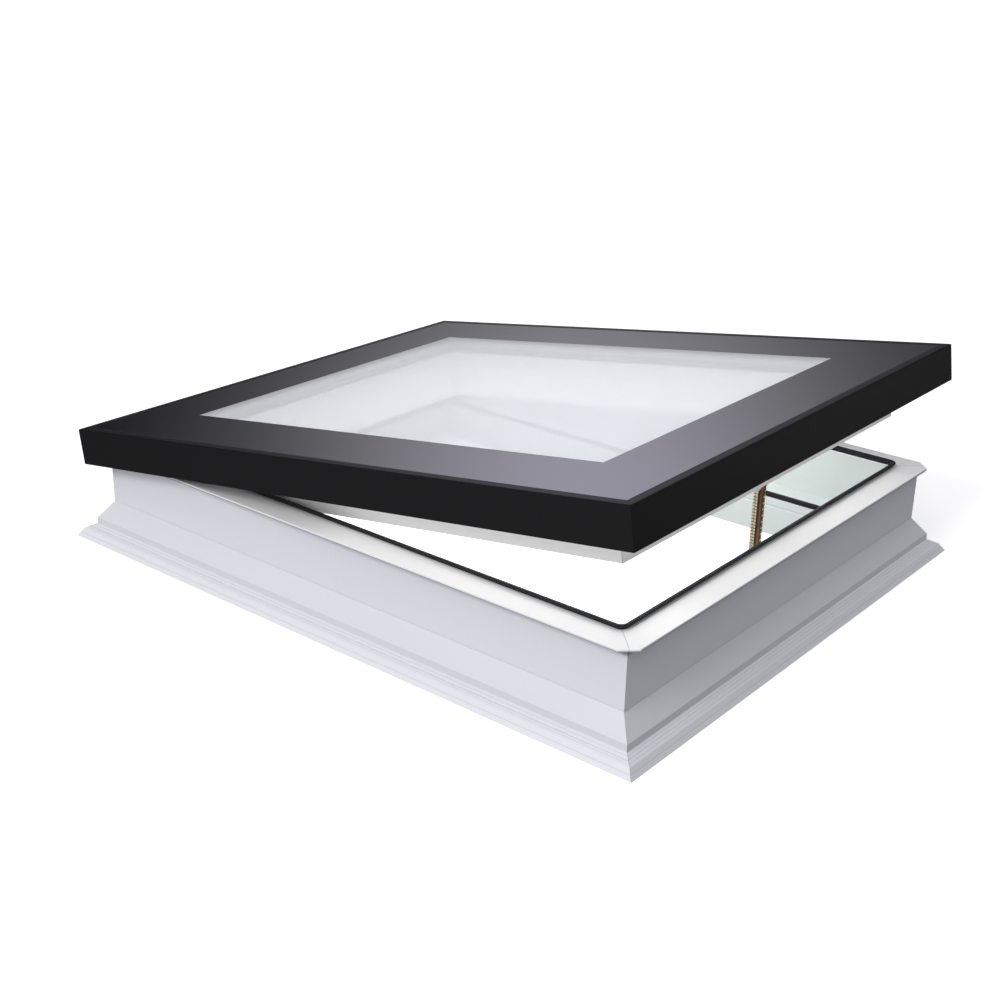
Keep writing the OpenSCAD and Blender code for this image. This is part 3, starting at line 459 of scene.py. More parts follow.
def sash_plastic(colour):
    """White extruded hard plastic, swung with the sash: die lines, soft roughness changes, and a weld at
    each corner's mitre."""
    f = Finish("sash plastic")
    x, y, z = f.place_closed()
    inset, along, off_mitre = side_inset(SASH_HALF_W, SASH_HALF_D, x, y)
    lines = extrusion_lines(f, inset + z, along, 800.0)
    broad = f.noise(f.joined(along * 0.5, inset, z), 14.0, 3.0)
    weld = off_mitre.line(0.0, 0.0006, 0.0004)
    tint = f.mix(lines * 0.12 + broad * 0.08, colour, [c * 0.9 for c in colour])
    tint = f.shade(tint, weld * 0.35)
    rough = 0.30 + lines * 0.08 + broad * 0.08
    return f.show(f.solid(tint, rough, f.bump(lines * 0.3 - weld, 0.00005), Specular_IOR_Level=0.5))


def foam(colour):
    """Closed-cell insulating foam: small rounded cells and a slightly mottled colour."""
    f = Finish("insulation foam")
    where = f.joined(*f.place())
    cell = Value(f, f.cells(where, 700.0))
    mottle = f.noise(where, 60.0, 3.0)
    tint = f.mix(mottle * 0.4, colour, [c * 0.75 for c in colour])
    return f.show(f.solid(tint, 0.85, f.bump(cell, 0.0004)))


def rubber(colour):
    """Extruded black rubber: a soft bloom, fine lines and a low sheen."""
    f = Finish("seal rubber")
    x, y, z = f.place()
    where = f.joined(x, y, z)
    bloom = f.noise(where, 38.0, 4.0, 0.65)
    grain = f.noise(where, 2600.0, 1.0)
    tint = f.mix(bloom * 0.35, colour, [c * 1.7 for c in colour])
    rough = 0.40 + bloom * 0.20 + grain * 0.05
    return f.show(f.solid(tint, rough, f.bump(grain * 0.5 + bloom * 0.4, 0.00008), Specular_IOR_Level=0.22))


def powder_coat(colour, seam_x, seam_to):
    """Black powder coat on aluminium: an orange-peel skin, a fine sparkle of roughness, and one butt joint
    at seam_x across the skirt's front face, which lies before seam_to."""
    f = Finish("powder coat")
    x, y, z = f.place_closed()
    where = f.joined(x, y, z)
    peel = f.noise(where, 950.0, 1.0)
    speck = f.noise(where, 4200.0, 1.0)
    broad = f.noise(where, 7.0, 2.0)
    seam = x.line(seam_x, 0.0006, 0.0005) * (1 - y.above(seam_to, 0.001))
    tint = f.mix(broad * 0.3 + speck * 0.15, colour, [c * 1.5 for c in colour])
    tint = f.mix(seam * 0.7, tint, (0.03, 0.03, 0.034))
    rough = 0.34 + peel * 0.08 + speck * 0.06
    height = peel * 0.8 + speck * 0.2 - seam * 1.6
    return f.show(f.solid(tint, rough, f.bump(height, 0.00010), Specular_IOR_Level=0.14))


def metal(name, colour, roughness, lines=0.0, spangle=0.0, across="z"):
    """Bare or plated metal: drawn lines across one direction, or the leafy spangle of hot-dip zinc."""
    f = Finish(name)
    x, y, z = f.place()
    where = f.joined(x, y, z)
    scales = {"x": (1.0, 0.02, 0.02), "y": (0.02, 1.0, 0.02), "z": (0.02, 0.02, 1.0)}[across]
    drawn = f.noise(f.joined(x * scales[0], y * scales[1], z * scales[2]), 3200.0, 2.0, 0.7)
    leaf = Value(f, f.node("RGBToBW", None, f.cells(where, 130.0, output="Color")).outputs[0])
    stain = f.noise(where, 45.0, 3.0)
    tint = f.mix(stain * 0.35 + leaf * spangle, colour, [c * 0.62 for c in colour])
    rough = roughness + drawn * lines * 0.25 + leaf * spangle * 0.25 + stain * 0.06
    height = drawn * lines + leaf * spangle * 0.3
    return f.show(f.solid(tint, rough, f.bump(height, 0.00003), Metallic=1.0))


def moulded(name, colour, roughness=0.5, spark=1500.0, depth=0.00005):
    """Moulded plastic: a fine spark-eroded grain and slow changes of gloss."""
    f = Finish(name)
    where = f.joined(*f.place())
    grain = f.noise(where, spark, 2.0)
    broad = f.noise(where, 24.0, 3.0)
    tint = f.mix(broad * 0.35 + grain * 0.1, colour, [c * 0.8 for c in colour])
    return f.show(f.solid(tint, roughness + grain * 0.1 + broad * 0.06, f.bump(grain, depth)))


def circuit_board(colour):
    """A control board: green mask over a maze of tracks, with tinned pads."""
    f = Finish("circuit board")
    x, y, z = f.place()
    where = f.joined(x, y, z)
    maze = f.node("TexVoronoi", {"distance": "MANHATTAN"}, where, Scale=420.0)
    steps = Value(f, maze.outputs["Distance"])
    tracks = steps.line(0.32, 0.08, 0.04)
    pads = 1 - steps.above(0.09, 0.03)
    tint = f.mix(pads, f.mix(tracks * 0.5, colour, [c * 1.8 for c in colour]), (0.75, 0.73, 0.68))
    return f.show(f.solid(tint, 0.35 + tracks * 0.1, f.bump(tracks + pads, 0.00004), Metallic=pads))


# how far a slanting look shifts the enamel of the pane's lower face
ENAMEL_SHIFT = 0.015


def enamelled_glass(clear_inset, rim, enamel, veil, middle):
    """A float-glass pane with a dark enamel border and a clear middle. The border is a glossy black face;
    the middle lets light through, mirrors as glass does, and carries a thin milky film. Below the height
    middle the enamel stands further back, as far as a slanting look would shift it. Along the rim the
    border turns dull and loses its coat: painted shade for the shadow in the gap between the rim and the
    glass."""
    f = Finish("enamelled glass")
    x, y, z = f.place_closed()
    where = f.joined(x, y, z)
    inset = (SASH_HALF_W - abs(x)).least(SASH_HALF_D - abs(y))
    border = 1 - inset.above(clear_inset - ENAMEL_SHIFT * (1 - z.above(middle, 0.0005)), 0.0006)
    film = f.noise(where, 6.0, 4.0, 0.6)
    smear = f.noise(where, 40.0, 3.0, 0.6)
    tint = f.mix(film * 0.25, enamel, [c * 1.4 for c in enamel])
    # painted shade: a dull band with no coat along the rim, standing for the shadow in the gap between the
    # rim and the glass
    gap_shade = 1 - inset.above(rim + 0.0016, 0.0004)
    dark = f.solid(tint, 0.06 + smear * 0.05 + gap_shade * 0.6, Specular_IOR_Level=0.6,
                   Coat_Weight=0.4 - gap_shade * 0.4, Coat_Roughness=0.03)
    clear = f.pane((0.97, 0.975, 0.985), 0.50 + film * 0.08, veil, 0.45)
    return f.show(f.node("MixShader", None, border, clear, dark).outputs[0])


def clear_glass():
    """A laminated float-glass pane: light passes with a faint green cast, and it mirrors as glass does."""
    f = Finish("laminated glass")
    where = f.joined(*f.place())
    film = f.noise(where, 9.0, 3.0)
    return f.show(f.pane((0.97, 0.985, 0.98), 0.01 + film * 0.02, (0.8, 0.82, 0.82), 0.5))


def chain_side(colour, bright, tooth):
    """The chain plates' faces: brown blued steel with darker drawn columns up the chain, a worn golden
    column between them, and a painted highlight: a bright spot beside each tooth, where the teeth catch the
    light."""
    f = Finish("chain plate face")
    x, y, z = f.place()
    where = f.joined(x, y, z)
    wear = f.noise(where, 420.0, 3.0, 0.6)
    columns = x.line(-0.0088, 0.0030, 0.001) + x.line(0.0048, 0.0022, 0.0012) * 0.8
    # painted highlight: a bright spot at each tooth pitch near the toothed front
    tooth_highlight = x.line(0.0084, 0.0022, 0.001) * f.wave(z, tooth).above(0.55, 0.4)
    tint = f.shade(f.mix(wear * 0.5, colour, [c * 1.7 for c in colour]), columns.least(1.0) * 0.65)
    middle = x.line(-0.0020, 0.0036, 0.0015)
    tint = f.mix(middle * (0.3 + wear * 0.5), tint, (0.36, 0.19, 0.055))
    tint = f.mix(tooth_highlight * (0.35 + wear * 0.4), tint, bright)
    return f.show(f.solid(tint, 0.42 + wear * 0.2, f.bump(wear - columns * 0.6, 0.00008), Metallic=0.2,
                          Specular_IOR_Level=0.25))


def chain_edge(bright):
    """The chain's stamped edges: bright passivated zinc with a golden cast, worn in spots."""
    f = Finish("chain edge")
    where = f.joined(*f.place())
    wear = f.noise(where, 600.0, 3.0, 0.6)
    tint = f.mix(wear * 0.4, bright, [c * 0.6 for c in bright])
    return f.show(f.solid(tint, 0.34 + wear * 0.2, f.bump(wear, 0.00005), Metallic=0.45))


def studio_floor(colour):
    """A matt pale sweep with a barely visible grain, lifted by a little light of its own."""
    f = Finish("studio floor")
    where = f.joined(*f.place())
    grain = f.noise(where, 60.0, 2.0)
    tint = f.mix(grain * 0.05, colour, [c * 0.97 for c in colour])
    return f.show(f.solid(tint, 0.9, Emission_Color=tint, Emission_Strength=0.35))


# --- values that a user would change ------------------------------------------------------


def colour_property(name, description, default):
    return FloatVectorProperty(name=name, description=description, default=default, size=3,
                               min=0.0, max=1.0, subtype="COLOR")


def length_property(name, description, default, low, high):
    return FloatProperty(name=name, description=description, default=default, min=low, max=high,
                         unit="LENGTH", precision=4)


class SkylightSizes(bpy.types.PropertyGroup):
    """Sizes of the fine parts that the CAD frame leaves plain."""

    plastic_edge: length_property("Plastic edge", "Rounding of the profiles' edges", 0.0007, 0, 0.002)
    metal_edge: length_property("Metal edge", "Rounding of the skirt's edges", 0.0008, 0, 0.0012)
    border_inset: length_property("Glass border", "From the sash's edge to clear glass", 0.135, 0.12, 0.2)
    seal_height: length_property("Seal height", "Height of the flange seal's lip", 0.0076, 0.005, 0.0108)
    seal_radius: length_property("Seal corner", "Corner radius of the flange seal", 0.014, 0.012, 0.018)
    ledge_seal_radius: length_property(
        "Ledge seal corner", "Corner radius of the ledge seal", 0.010, 0.009, 0.016)
    chain_pitch: length_property("Chain pitch", "From pin to pin of the push chain", 0.0095, 0.009, 0.010)
    tooth_pitch: length_property("Tooth pitch", "From tooth to tooth on the chain", 0.00475, 0.004, 0.005)
    skirt_seam: length_property(
        "Skirt seam", "Place of the front skirt's butt joint, along the hinge line", -0.005, -0.4, 0.4)


class SkylightColours(bpy.types.PropertyGroup):
    """Colours of the finishes."""

    curb: colour_property("Curb", "The curb's plastic", (0.70, 0.71, 0.75))
    # painted highlight: the flange's top, painted lighter and warmer than the rest of the curb
    crown: colour_property("Crown", "The top of the curb's flange", (0.80, 0.795, 0.795))
    # painted shade: the curb's inner walls, painted darker and greener than its outside
    lining: colour_property("Inner shade", "The curb's inner walls", (0.57, 0.605, 0.59))
    sash: colour_property("Sash", "The sash's plastic", (0.80, 0.80, 0.79))
    skirt: colour_property("Skirt", "The skirt's powder coat", (0.006, 0.006, 0.0066))
    seal: colour_property("Seal", "Seals and gaskets", (0.008, 0.009, 0.011))
    enamel: colour_property("Enamel", "The glass's border", (0.004, 0.004, 0.006))
    veil: colour_property("Film", "Milky film on the clear glass", (0.855, 0.857, 0.878))
    chain: colour_property("Chain", "Faces of the chain's plates", (0.095, 0.038, 0.009))
    chain_bright: colour_property("Chain edge", "Edges and pins of the chain", (0.84, 0.71, 0.50))
    floor: colour_property("Floor", "The studio floor", (0.97, 0.97, 0.97))


def sizes():
    return bpy.context.scene.skylight_sizes


def colours():
    return bpy.context.scene.skylight_colours


# --- the skylight's pieces ----------------------------------------------------------------


SIDES = ("front", "right", "rear", "left")


class SKYLIGHT_OT_curb(bpy.types.Operator):
    """Finish the curb's four sides, the foam inside them and the cable grommet"""

    bl_idname = "skylight.curb"
    bl_label = "Curb"

    def execute(self, context):
        plastic = curb_plastic(list(colours().curb), list(colours().lining), list(colours().crown))
        dress([f"curb_{s}" for s in SIDES], plastic, sizes().plastic_edge)
        dress([f"insulation_{s}" for s in SIDES], foam([0.45, 0.6, 0.75]))
        dress(["cable_grommet"], rubber(list(colours().seal)), 0.0003)
        return {"FINISHED"}


# inset of the flange seal's foot, and its section: the way in from the foot or from the lip's tip, and the
# height as a share of the lip's
FLANGE_SEAL_IN = 0.0732
SEAL_FOOT = [
    (0, 0), (0.0042, 0), (0.0042, 0.25), (0.0034, 0.35), (0.0034, 0.50), (0.0026, 0.85), (0.0008, 1),
]
SEAL_TIP = [(0.0008, 1), (-0.0002, 0.84), (0.0012, 0.5)]
SEAL_BACK = [(0.0002, 0.45), (0.0002, 0.35), (-0.0004, 0.25)]
# the ledge seal's width, and the height of its upright foot
LEDGE_SEAL_W, LEDGE_SEAL_FOOT = 0.0082, 0.0034


class SKYLIGHT_OT_seals(bpy.types.Operator):
    """Make the curb's two seals as extruded sections with rounded lips"""

    bl_idname = "skylight.seals"
    bl_label = "Seals"

    def execute(self, context):
        black = rubber(list(colours().seal))
        low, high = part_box("flange_seal")
        tip, rise = HALF_W - high.x, sizes().seal_height
        outline = [
            (start + way, low.z + rise * share)
            for start, points in ((FLANGE_SEAL_IN, SEAL_FOOT), (tip, SEAL_TIP), (FLANGE_SEAL_IN, SEAL_BACK))
            for way, share in points
        ]
        seal = along_rounded_frame(smoothed(outline, 2), tip, sizes().seal_radius, 14)
        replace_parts(new_piece("flange_gasket", seal, black, "curb", 60.0), "flange_seal")

        low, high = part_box("ledge_seal")
        inset, foot = HALF_W - high.x, low.z + LEDGE_SEAL_FOOT
        outline = [
            (inset, low.z), (inset + LEDGE_SEAL_W, low.z), (inset + LEDGE_SEAL_W, foot),
            (inset + 0.0074, high.z - 0.0002), (inset + 0.0040, high.z), (inset + 0.0004, high.z - 0.0009),
            (inset - 0.0002, foot),
        ]
        seal = along_rounded_frame(smoothed(outline, 2), inset, sizes().ledge_seal_radius, 12)
        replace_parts(new_piece("ledge_gasket", seal, black, "curb", 60.0), "ledge_seal")
        return {"FINISHED"}


class SKYLIGHT_OT_sash(bpy.types.Operator):
    """Finish the sash's plastic profiles and the steel tubes inside them"""

    bl_idname = "skylight.sash"
    bl_label = "Sash"

    def execute(self, context):
        dress([f"sash_{s}" for s in SIDES], sash_plastic(list(colours().sash)), sizes().plastic_edge)
        steel = metal("galvanised steel", [0.55, 0.57, 0.60], 0.35, spangle=0.6)
        dress([f"tube_{s}" for s in SIDES], steel, 0.001)
        return {"FINISHED"}


# the front skirt's face lies before this place along Y
FRONT_FACE_TO = -0.52


class SKYLIGHT_OT_skirt(bpy.types.Operator):
    """Finish the black skirt and its corner cleats"""

    bl_idname = "skylight.skirt"
    bl_label = "Skirt"

    def execute(self, context):
        coat = powder_coat(list(colours().skirt), sizes().skirt_seam, FRONT_FACE_TO)
        dress([f"skirt_{s}" for s in SIDES], coat, sizes().metal_edge)
        dress(["skirt_cleats"], metal("mill aluminium", [0.76, 0.77, 0.79], 0.35, lines=0.8), 0.0004)
        return {"FINISHED"}


class SKYLIGHT_OT_glazing(bpy.types.Operator):
    """Finish the two panes and what holds them apart and in place"""

    bl_idname = "skylight.glazing"
    bl_label = "Glazing"

    def execute(self, context):
        heights = swung_closed(vertices("outer_pane"))[:, 2]
        middle = (heights.min() + heights.max()) / 2
        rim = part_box("skirt_right")[1].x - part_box("outer_pane")[1].x
        enamel, veil = list(colours().enamel), list(colours().veil)
        glass = enamelled_glass(sizes().border_inset, rim, enamel, veil, middle)
        dress(["outer_pane"], glass)
        dress(["inner_pane"], clear_glass())
        dress(["spacer_bar"], metal("spacer aluminium", [0.62, 0.63, 0.65], 0.4, lines=0.6))
        dress(["edge_seal", "glazing_tape", "glazing_gasket"], rubber([0.014, 0.014, 0.015]))
        dress(["setting_blocks"], moulded("block plastic", [0.16, 0.30, 0.55]))
        return {"FINISHED"}


class SKYLIGHT_OT_hinges(bpy.types.Operator):
    """Finish the two hinges"""

    bl_idname = "skylight.hinges"
    bl_label = "Hinges"

    def execute(self, context):
        zinc = metal("zinc plate", [0.68, 0.69, 0.71], 0.3, lines=0.5, across="y")
        leaves = [f"{part}_leaf_{side}" for part in ("curb", "sash") for side in ("left", "right")]
        dress(leaves, zinc, 0.0004)
        pins = ["hinge_pin_left", "hinge_pin_right"]
        dress(pins, metal("hinge pin steel", [0.5, 0.5, 0.52], 0.25), 0.0003)
        return {"FINISHED"}


class SKYLIGHT_OT_opener(bpy.types.Operator):
    """Finish the concealed opener: housing, drive, cover and exit bezel"""

    bl_idname = "skylight.opener"
    bl_label = "Opener"

    def execute(self, context):
        dress(["opener_cover"], moulded("cover plastic", [0.78, 0.78, 0.77], 0.38), 0.0006)
        nylon = moulded("black nylon", [0.02, 0.02, 0.022], 0.45)
        dress(["motor_end_cap", "storage_end_cap", "gearbox", "exit_bezel"], nylon, 0.0005)
        dress(["opener_housing"], metal("housing aluminium", [0.76, 0.77, 0.79], 0.35, lines=0.8), 0.0005)
        machined = metal("machined steel", [0.5, 0.5, 0.52], 0.22, lines=0.5, across="x")
        dress(["drive_motor", "sprocket_shaft", "chain_sprocket"], machined, 0.0003)
        dress(["control_board"], circuit_board([0.03, 0.15, 0.07]))
        dress(["chain_guide"], moulded("natural acetal", [0.80, 0.78, 0.70], 0.3))
        dress(["shaft_bush"], metal("sintered bronze", [0.6, 0.42, 0.2], 0.45, spangle=0.3))
        zinc = metal("bracket zinc", [0.66, 0.67, 0.70], 0.3, lines=0.4)
        dress(["chain_bracket", "bracket_pin"], zinc, 0.0004)
        return {"FINISHED"}


# the push chain: half its depth, its plates' thickness, back and toothed front, its pins, and how far the
# rims of the plates and blocks are broken
CHAIN_HALF, PLATE_T = 0.0038, 0.0012
PLATE_BACK, PLATE_FRONT = -0.011, 0.011
PIN_R = 0.0018
RIM = 0.0002
# the blocks at the plates' backs: from edge to edge, and the gap between one and the next
BLOCK_BACK, BLOCK_FRONT, BLOCK_GAP = PLATE_BACK - 0.0003, PLATE_BACK + 0.0022, 0.0014
# the sprocket's teeth stand this far apart, in degrees
TOOTH_TURN = 45
# the end block: half its length along the pin, half its width, and its bore
END_HALF, END_R, END_BORE = 0.007, 0.0055, 0.0034


def serrated_plate(length, tooth, half_outer, x_back, x_front):
    """The outline of one chain plate in [x, z]: a plain back with a shallow notch at each tooth pitch, and
    a front of round teeth, whose depth follows |cos(pi z / tooth)| ** 1.5."""
    count = int(round(length / tooth))
    z = np.linspace(0, length, count * 8 + 1)
    wave = np.abs(np.cos(pi * z / tooth))
    front = np.column_stack([x_front - 0.0016 * wave**1.5, z])
    back = np.column_stack([x_back + 0.0004 * (wave > 0.97), z])
    return np.concatenate([front, back[::-1]]) - [0, half_outer]


def chain_link(plate, outer):
    """A link's two plates, and its pin, drawn about the lower pin. The plates of an outer link lie outside
    those of its neighbours."""
    gap = CHAIN_HALF - PLATE_T if outer else CHAIN_HALF - 2 * PLATE_T - 0.0001
    flat = stamped(plate, PLATE_T, RIM)
    plates = [moved(flat, Matrix.Translation((0, y, 0))) for y in (gap, -gap - PLATE_T)]
    head = [(0, CHAIN_HALF + 0.0006), (PIN_R * 0.7, CHAIN_HALF + 0.0005),
            (PIN_R, CHAIN_HALF + 0.0002), (PIN_R, CHAIN_HALF)]
    profile = head + [(r, -z) for r, z in reversed(head)]
    pin = moved(tube_solid(turned(profile, 18)), Matrix.Rotation(radians(90), 4, "X"))
    return plates, [pin]


def chain_backs(count, tooth, pin_x):
    """Pairs of bright blocks behind the plates, one pair at each tooth pitch."""
    made = []
    for k in range(count):
        z0, z1 = k * tooth + BLOCK_GAP / 2, (k + 1) * tooth - BLOCK_GAP / 2
        x0, x1 = BLOCK_BACK - pin_x, BLOCK_FRONT - pin_x
        outline = [(x0, z0), (x1, z0), (x1, z1), (x0, z1)]
        for y in (0.0003 - CHAIN_HALF, 0.0004):
            block = stamped(outline, CHAIN_HALF - 0.0007, RIM)
            made.append(moved(block, Matrix.Translation((0, y, 0))))
    return made


def chain_end(y, z, low):
    """The chain's end block, bored for the bracket pin at (y, z): round above the pin, and square below it,
    down to low under the pin."""
    a = np.linspace(0, 2 * pi, 49)[:-1]
    circle = np.column_stack([np.cos(a), np.sin(a)])
    square = circle / np.abs(circle).max(1)[:, None]
    body = np.where(circle[:, 1:] > 0, circle, square) * END_R
    body[:, 1] = np.where(circle[:, 1] < 0, body[:, 1] * low / END_R, body[:, 1])
    loops = [(-END_HALF, body * (1 - 0.0004 / END_R)), (0.0004 - END_HALF, body),
             (END_HALF - 0.0004, body), (END_HALF, body * (1 - 0.0004 / END_R)),
             (END_HALF, circle * END_BORE), (-END_HALF, circle * END_BORE)]
    return ring_solid([np.column_stack([np.full(len(p), x), y + p[:, 0], z + p[:, 1]]) for x, p in loops])


def placed(matrix, solids):
    """Several solids taken through one matrix."""
    return [moved(solid, matrix) for solid in solids]


class SKYLIGHT_OT_chain(bpy.types.Operator):
    """Make the push chain: toothed plates, bright back blocks, pins, the stored run and the end block"""

    bl_idname = "skylight.chain"
    bl_label = "Push chain"

    def execute(self, context):
        y, pitch, tooth = SPROCKET.y, sizes().chain_pitch, sizes().tooth_pitch
        wheel_r = pitch / (2 * sin(radians(TOOTH_TURN / 2)))
        pin_x = SPROCKET.x - wheel_r
        plate = serrated_plate(2 * pitch, tooth, pitch / 2, PLATE_BACK - pin_x, PLATE_FRONT - pin_x)
        plate[:, 1] = plate[:, 1] * 0.985 + pitch * 0.0075
        face = chain_side(list(colours().chain), list(colours().chain_bright), tooth)
        edge = chain_edge(list(colours().chain_bright))

        # the upright run, from just below the cover to just below the bracket's pin
        cover_top, bezel_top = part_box("opener_cover")[1].z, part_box("exit_bezel")[1].z
        eye_z = (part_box("bracket_pin")[0].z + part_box("bracket_pin")[1].z) / 2
        first = int((cover_top - 0.004 - SPROCKET.z) / pitch)
        links = int((eye_z - 0.007 - SPROCKET.z) / pitch)
        plates, bright = [], []
        for k in range(first, links):
            at = Matrix.Translation((pin_x, y, SPROCKET.z + k * pitch))
            flat, pin = chain_link(plate, k % 2)
            plates += placed(at, flat)
            bright += placed(at, pin)
        foot = SPROCKET.z + first * pitch
        backs = chain_backs(int((eye_z - 0.004 - foot) / tooth), tooth, pin_x)
        bright += placed(Matrix.Translation((pin_x, y, foot)), backs)

        # closed, the run goes down to the bezel's rim, clear of the bracket
        for name, solids, finish in (("chain_plates", plates, face), ("chain_blocks", bright, edge)):
            piece = new_piece(name, joined(*solids), [finish, edge], "curb")
            if name == "chain_plates":
                faces = piece.data.polygons
                front = np.array([abs(p.normal.y) < 0.5 and p.center.x > pin_x for p in faces], np.int32)
                faces.foreach_set("material_index", front)
            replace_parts(piece, "push_chain")
            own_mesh(piece)

        # the stored run: up the guide, round the sprocket and along the housing
        stored = []
        for k in range(first):
            at = Matrix.Translation((pin_x, y, SPROCKET.z + k * pitch))
            stored += placed(at, sum(chain_link(plate, k % 2), []))
        for k in (1, 2):
            a = radians(180 + TOOTH_TURN * k)
            at = Matrix.Translation((SPROCKET.x + wheel_r * cos(a), y, SPROCKET.z + wheel_r * sin(a)))
            at = at @ Matrix.Rotation(radians(-TOOTH_TURN * (k - 0.5)), 4, "Y")
            stored += placed(at, sum(chain_link(plate, k % 2), []))
        for k in (1, 2):
            at = Matrix.Translation((SPROCKET.x + k * pitch, y, SPROCKET.z - wheel_r))
            at = at @ Matrix.Rotation(radians(-90), 4, "Y")
            stored += placed(at, sum(chain_link(plate, k % 2), []))
        piece = new_piece("chain_store", joined(*stored), edge, "curb")
        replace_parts(piece, "push_chain")

        closed_eye = swung_closed([[0, y, eye_z]])[0][2]
        end = chain_end(y, eye_z, closed_eye - bezel_top - 0.0013)
        piece = new_piece("chain_end_block", end, face, "sash")
        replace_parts(piece, "push_chain")
        return {"FINISHED"}


class SKYLIGHT_OT_screws(bpy.types.Operator):
    """Finish the screws"""

    bl_idname = "skylight.screws"
    bl_label = "Screws"

    def execute(self, context):
        zinc = metal("screw zinc", [0.70, 0.71, 0.73], 0.26, lines=0.3)
        dress([f"{place}_screws" for place in ("skirt", "cover", "opener", "bracket")], zinc)
        dress([f"{body}_leaf_screws" for body in ("curb", "sash")], zinc)
        return {"FINISHED"}


# the floor: flat out to here, then a sweep up to its rim's reach and height
FLAT_R, SWEEP_R, SWEEP_H = 8.0, 60.0, 22.0
# the soft card's middle, round from +X
CARD_TURN = radians(40.3)
# soft panels in the closed sash's place, which swing with it: place, turn about X, size and power. They
# light the room side, the sash's inside, and the curb's flange
PANELS = {
    "room light": ((0, -0.02, 0.080), 0.0, (0.70, 0.86), 2.6),
    "sash light": ((0, -0.02, 0.080), pi, (0.70, 0.86), 4.0),
    "front edge light": ((0, -0.49, 0.140), 0.0, (0.80, 0.03), 0.17),
    "left edge light": ((-0.40, -0.24, 0.140), 0.0, (0.03, 0.50), 0.085),
    "right edge light": ((0.40, -0.10, 0.140), 0.0, (0.03, 0.78), 0.04),
}
# the place of a card that only shows as sheen on the opening side's dark skirt
FRONT_CARD = Vector((2.8, -3.2, 0.05))
# the camera's place, what it looks at, and its roll in degrees
EYE = Vector((-1.71739, -1.35658, 0.98391))
TARGET = Vector((-0.06374, -0.02351, 0.10166))
ROLL = 1.2568


def floor_sweep():
    """A floor disc that sweeps up far out: height = SWEEP_H ((r - FLAT_R) / (SWEEP_R - FLAT_R)) ** 1.5."""
    reach = np.concatenate([[0.001, FLAT_R], np.linspace(FLAT_R + 1.0, SWEEP_R, 35)])
    rise = SWEEP_H * (np.maximum(reach - FLAT_R, 0.0) / (SWEEP_R - FLAT_R)) ** 1.5
    rings = turned(np.column_stack([reach, rise]), 72)
    faces = grid_faces(*rings.shape[:2], wrap_columns=True)
    mesh = bpy.data.meshes.new("floor")
    mesh.from_pydata(rings.reshape(-1, 3).tolist(), [], faces.tolist())
    mesh.polygons.foreach_set("use_smooth", np.ones(len(faces), bool))
    mesh.materials.append(studio_floor(list(colours().floor)))
    floor = bpy.data.objects.new("floor", mesh)
    bpy.context.scene.collection.objects.link(floor)
    return floor


def new_light(name, kind, power, matrix):
    """A light that shines along its own -Z."""
    lamp = bpy.data.lights.new(name, kind)
    lamp.energy = power
    light = bpy.data.objects.new(name, lamp)
    light.matrix_world = matrix
    bpy.context.scene.collection.objects.link(light)
    return light


def soft_panel(name, size, power, matrix):
    """A rectangular light that the camera doesn't see."""
    light = new_light(name, "AREA", power, matrix)
    light.data.shape = "RECTANGLE"
    light.data.size, light.data.size_y = size
    light.visible_camera = False
    return light


def facing(way):
    """The turn that points -Z along a direction."""
    return Vector(way).to_track_quat("-Z", "Y").to_matrix().to_4x4()


def studio_sky():
    """A world of soft fields: pale overhead, dimmer low down on the camera's side and darker ahead of it,
    but for one soft card there, whose mirror image fades across the glass's border."""
    sky = Finish("studio", bpy.data.worlds.new("studio"))
    bpy.context.scene.world = sky.holder
    towards = sky.node("SeparateXYZ", None, sky.node("TexCoord").outputs["Generated"])
    x, y, z = [Value(sky, socket) for socket in towards.outputs]
    ahead = (x * 0.77 + y * 0.64).above(0.0, 0.5)
    low = (0.24 + (x * -1).above(0.5, 0.8) * 0.5) * (1 - ahead)
    high = z.above(0.65, 0.75) * 0.85
    card = (x * sin(CARD_TURN) - y * cos(CARD_TURN)).bell(0.0, 0.13) * ahead
    card = card * z.above(0.122, 0.33) * (1 - z.above(0.45, 0.2)) * 1.20
    tint = sky.mix(card.least(1.0), (1.0, 1.0, 1.03), (1.03, 1.0, 1.22))
    sky.show(sky.node("Background", None, tint, low + high + card).outputs[0], "OutputWorld")


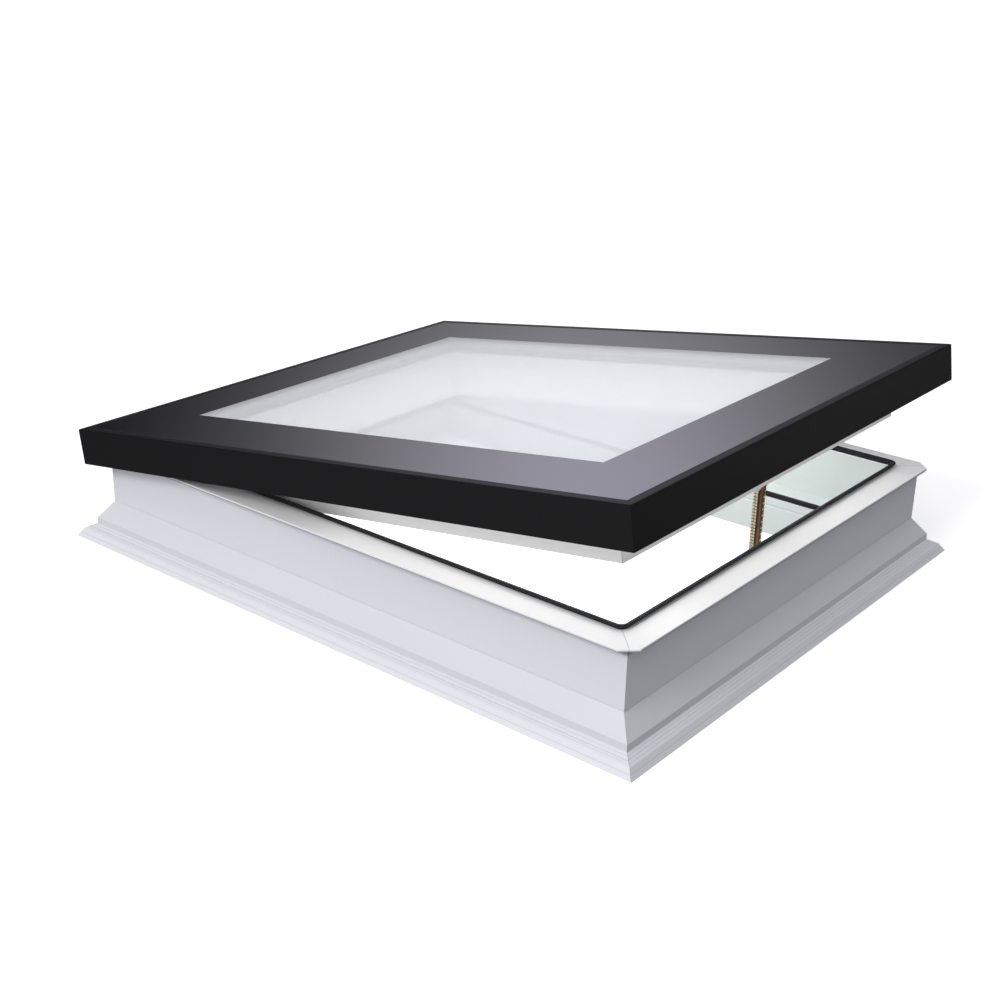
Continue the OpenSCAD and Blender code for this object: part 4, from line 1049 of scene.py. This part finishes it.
class SKYLIGHT_OT_stage(bpy.types.Operator):
    """Make the pale floor, the soft lights and the camera"""

    bl_idname = "skylight.stage"
    bl_label = "Stage"

    def execute(self, context):
        floor = floor_sweep()
        # the floor shows to the camera only, and throws no glare on the shaded side
        floor.visible_diffuse = floor.visible_glossy = floor.visible_shadow = False
        sun = new_light("key light", "SUN", 1.26, facing((0.80, -0.06, -0.60)))
        sun.data.angle = radians(20)

        hinge = Matrix.Translation((0, HINGE_Y, HINGE_Z))
        tilt = hinge @ Matrix.Rotation(-OPEN_ANGLE, 4, "X") @ hinge.inverted()
        for name, (place, turn, size, power) in PANELS.items():
            at = tilt @ Matrix.Translation(place) @ Matrix.Rotation(turn, 4, "X")
            panel = soft_panel(name, size, power, at)
            panel.visible_glossy = False
            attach(panel, "sash")

        at = Matrix.Translation(FRONT_CARD) @ facing(-FRONT_CARD)
        card = soft_panel("front card", (2.6, 1.2), 8.0, at)
        card.visible_diffuse = False
        studio_sky()

        camera = bpy.data.objects.new("camera", bpy.data.cameras.new("camera"))
        context.scene.collection.objects.link(camera)
        context.scene.camera = camera
        roll = Matrix.Rotation(radians(ROLL), 4, "Z")
        camera.matrix_world = Matrix.Translation(EYE) @ facing(TARGET - EYE) @ roll
        camera.data.lens, camera.data.sensor_width = 52.95, 36.0
        camera.data.clip_start, camera.data.clip_end = 0.05, 200.0
        context.scene.view_settings.view_transform = "Standard"
        return {"FINISHED"}


PARTS = ("curb", "seals", "sash", "skirt", "glazing", "hinges", "opener", "chain", "screws", "stage")


class SKYLIGHT_PT_panel(bpy.types.Panel):
    """Lists the skylight's pieces, sizes and colours"""

    bl_idname = "SKYLIGHT_PT_panel"
    bl_label = "Skylight"
    bl_space_type = "VIEW_3D"
    bl_region_type = "UI"
    bl_category = "Skylight"

    def draw(self, context):
        column = self.layout.column()
        for group in (context.scene.skylight_sizes, context.scene.skylight_colours):
            for name in group.__annotations__:
                column.prop(group, name)
        for part in PARTS:
            column.operator(f"skylight.{part}")


CLASSES = (
    SkylightSizes, SkylightColours, SKYLIGHT_OT_curb, SKYLIGHT_OT_seals, SKYLIGHT_OT_sash,
    SKYLIGHT_OT_skirt, SKYLIGHT_OT_glazing, SKYLIGHT_OT_hinges, SKYLIGHT_OT_opener,
    SKYLIGHT_OT_chain, SKYLIGHT_OT_screws, SKYLIGHT_OT_stage, SKYLIGHT_PT_panel,
)


def register():
    for cls in CLASSES:
        bpy.utils.register_class(cls)
    bpy.types.Scene.skylight_sizes = PointerProperty(type=SkylightSizes)
    bpy.types.Scene.skylight_colours = PointerProperty(type=SkylightColours)


def unregister():
    del bpy.types.Scene.skylight_colours, bpy.types.Scene.skylight_sizes
    for cls in reversed(CLASSES):
        bpy.utils.unregister_class(cls)


def main():
    register()
    for part in PARTS:
        getattr(bpy.ops.skylight, part)()


if __name__ == "__main__":
    main()
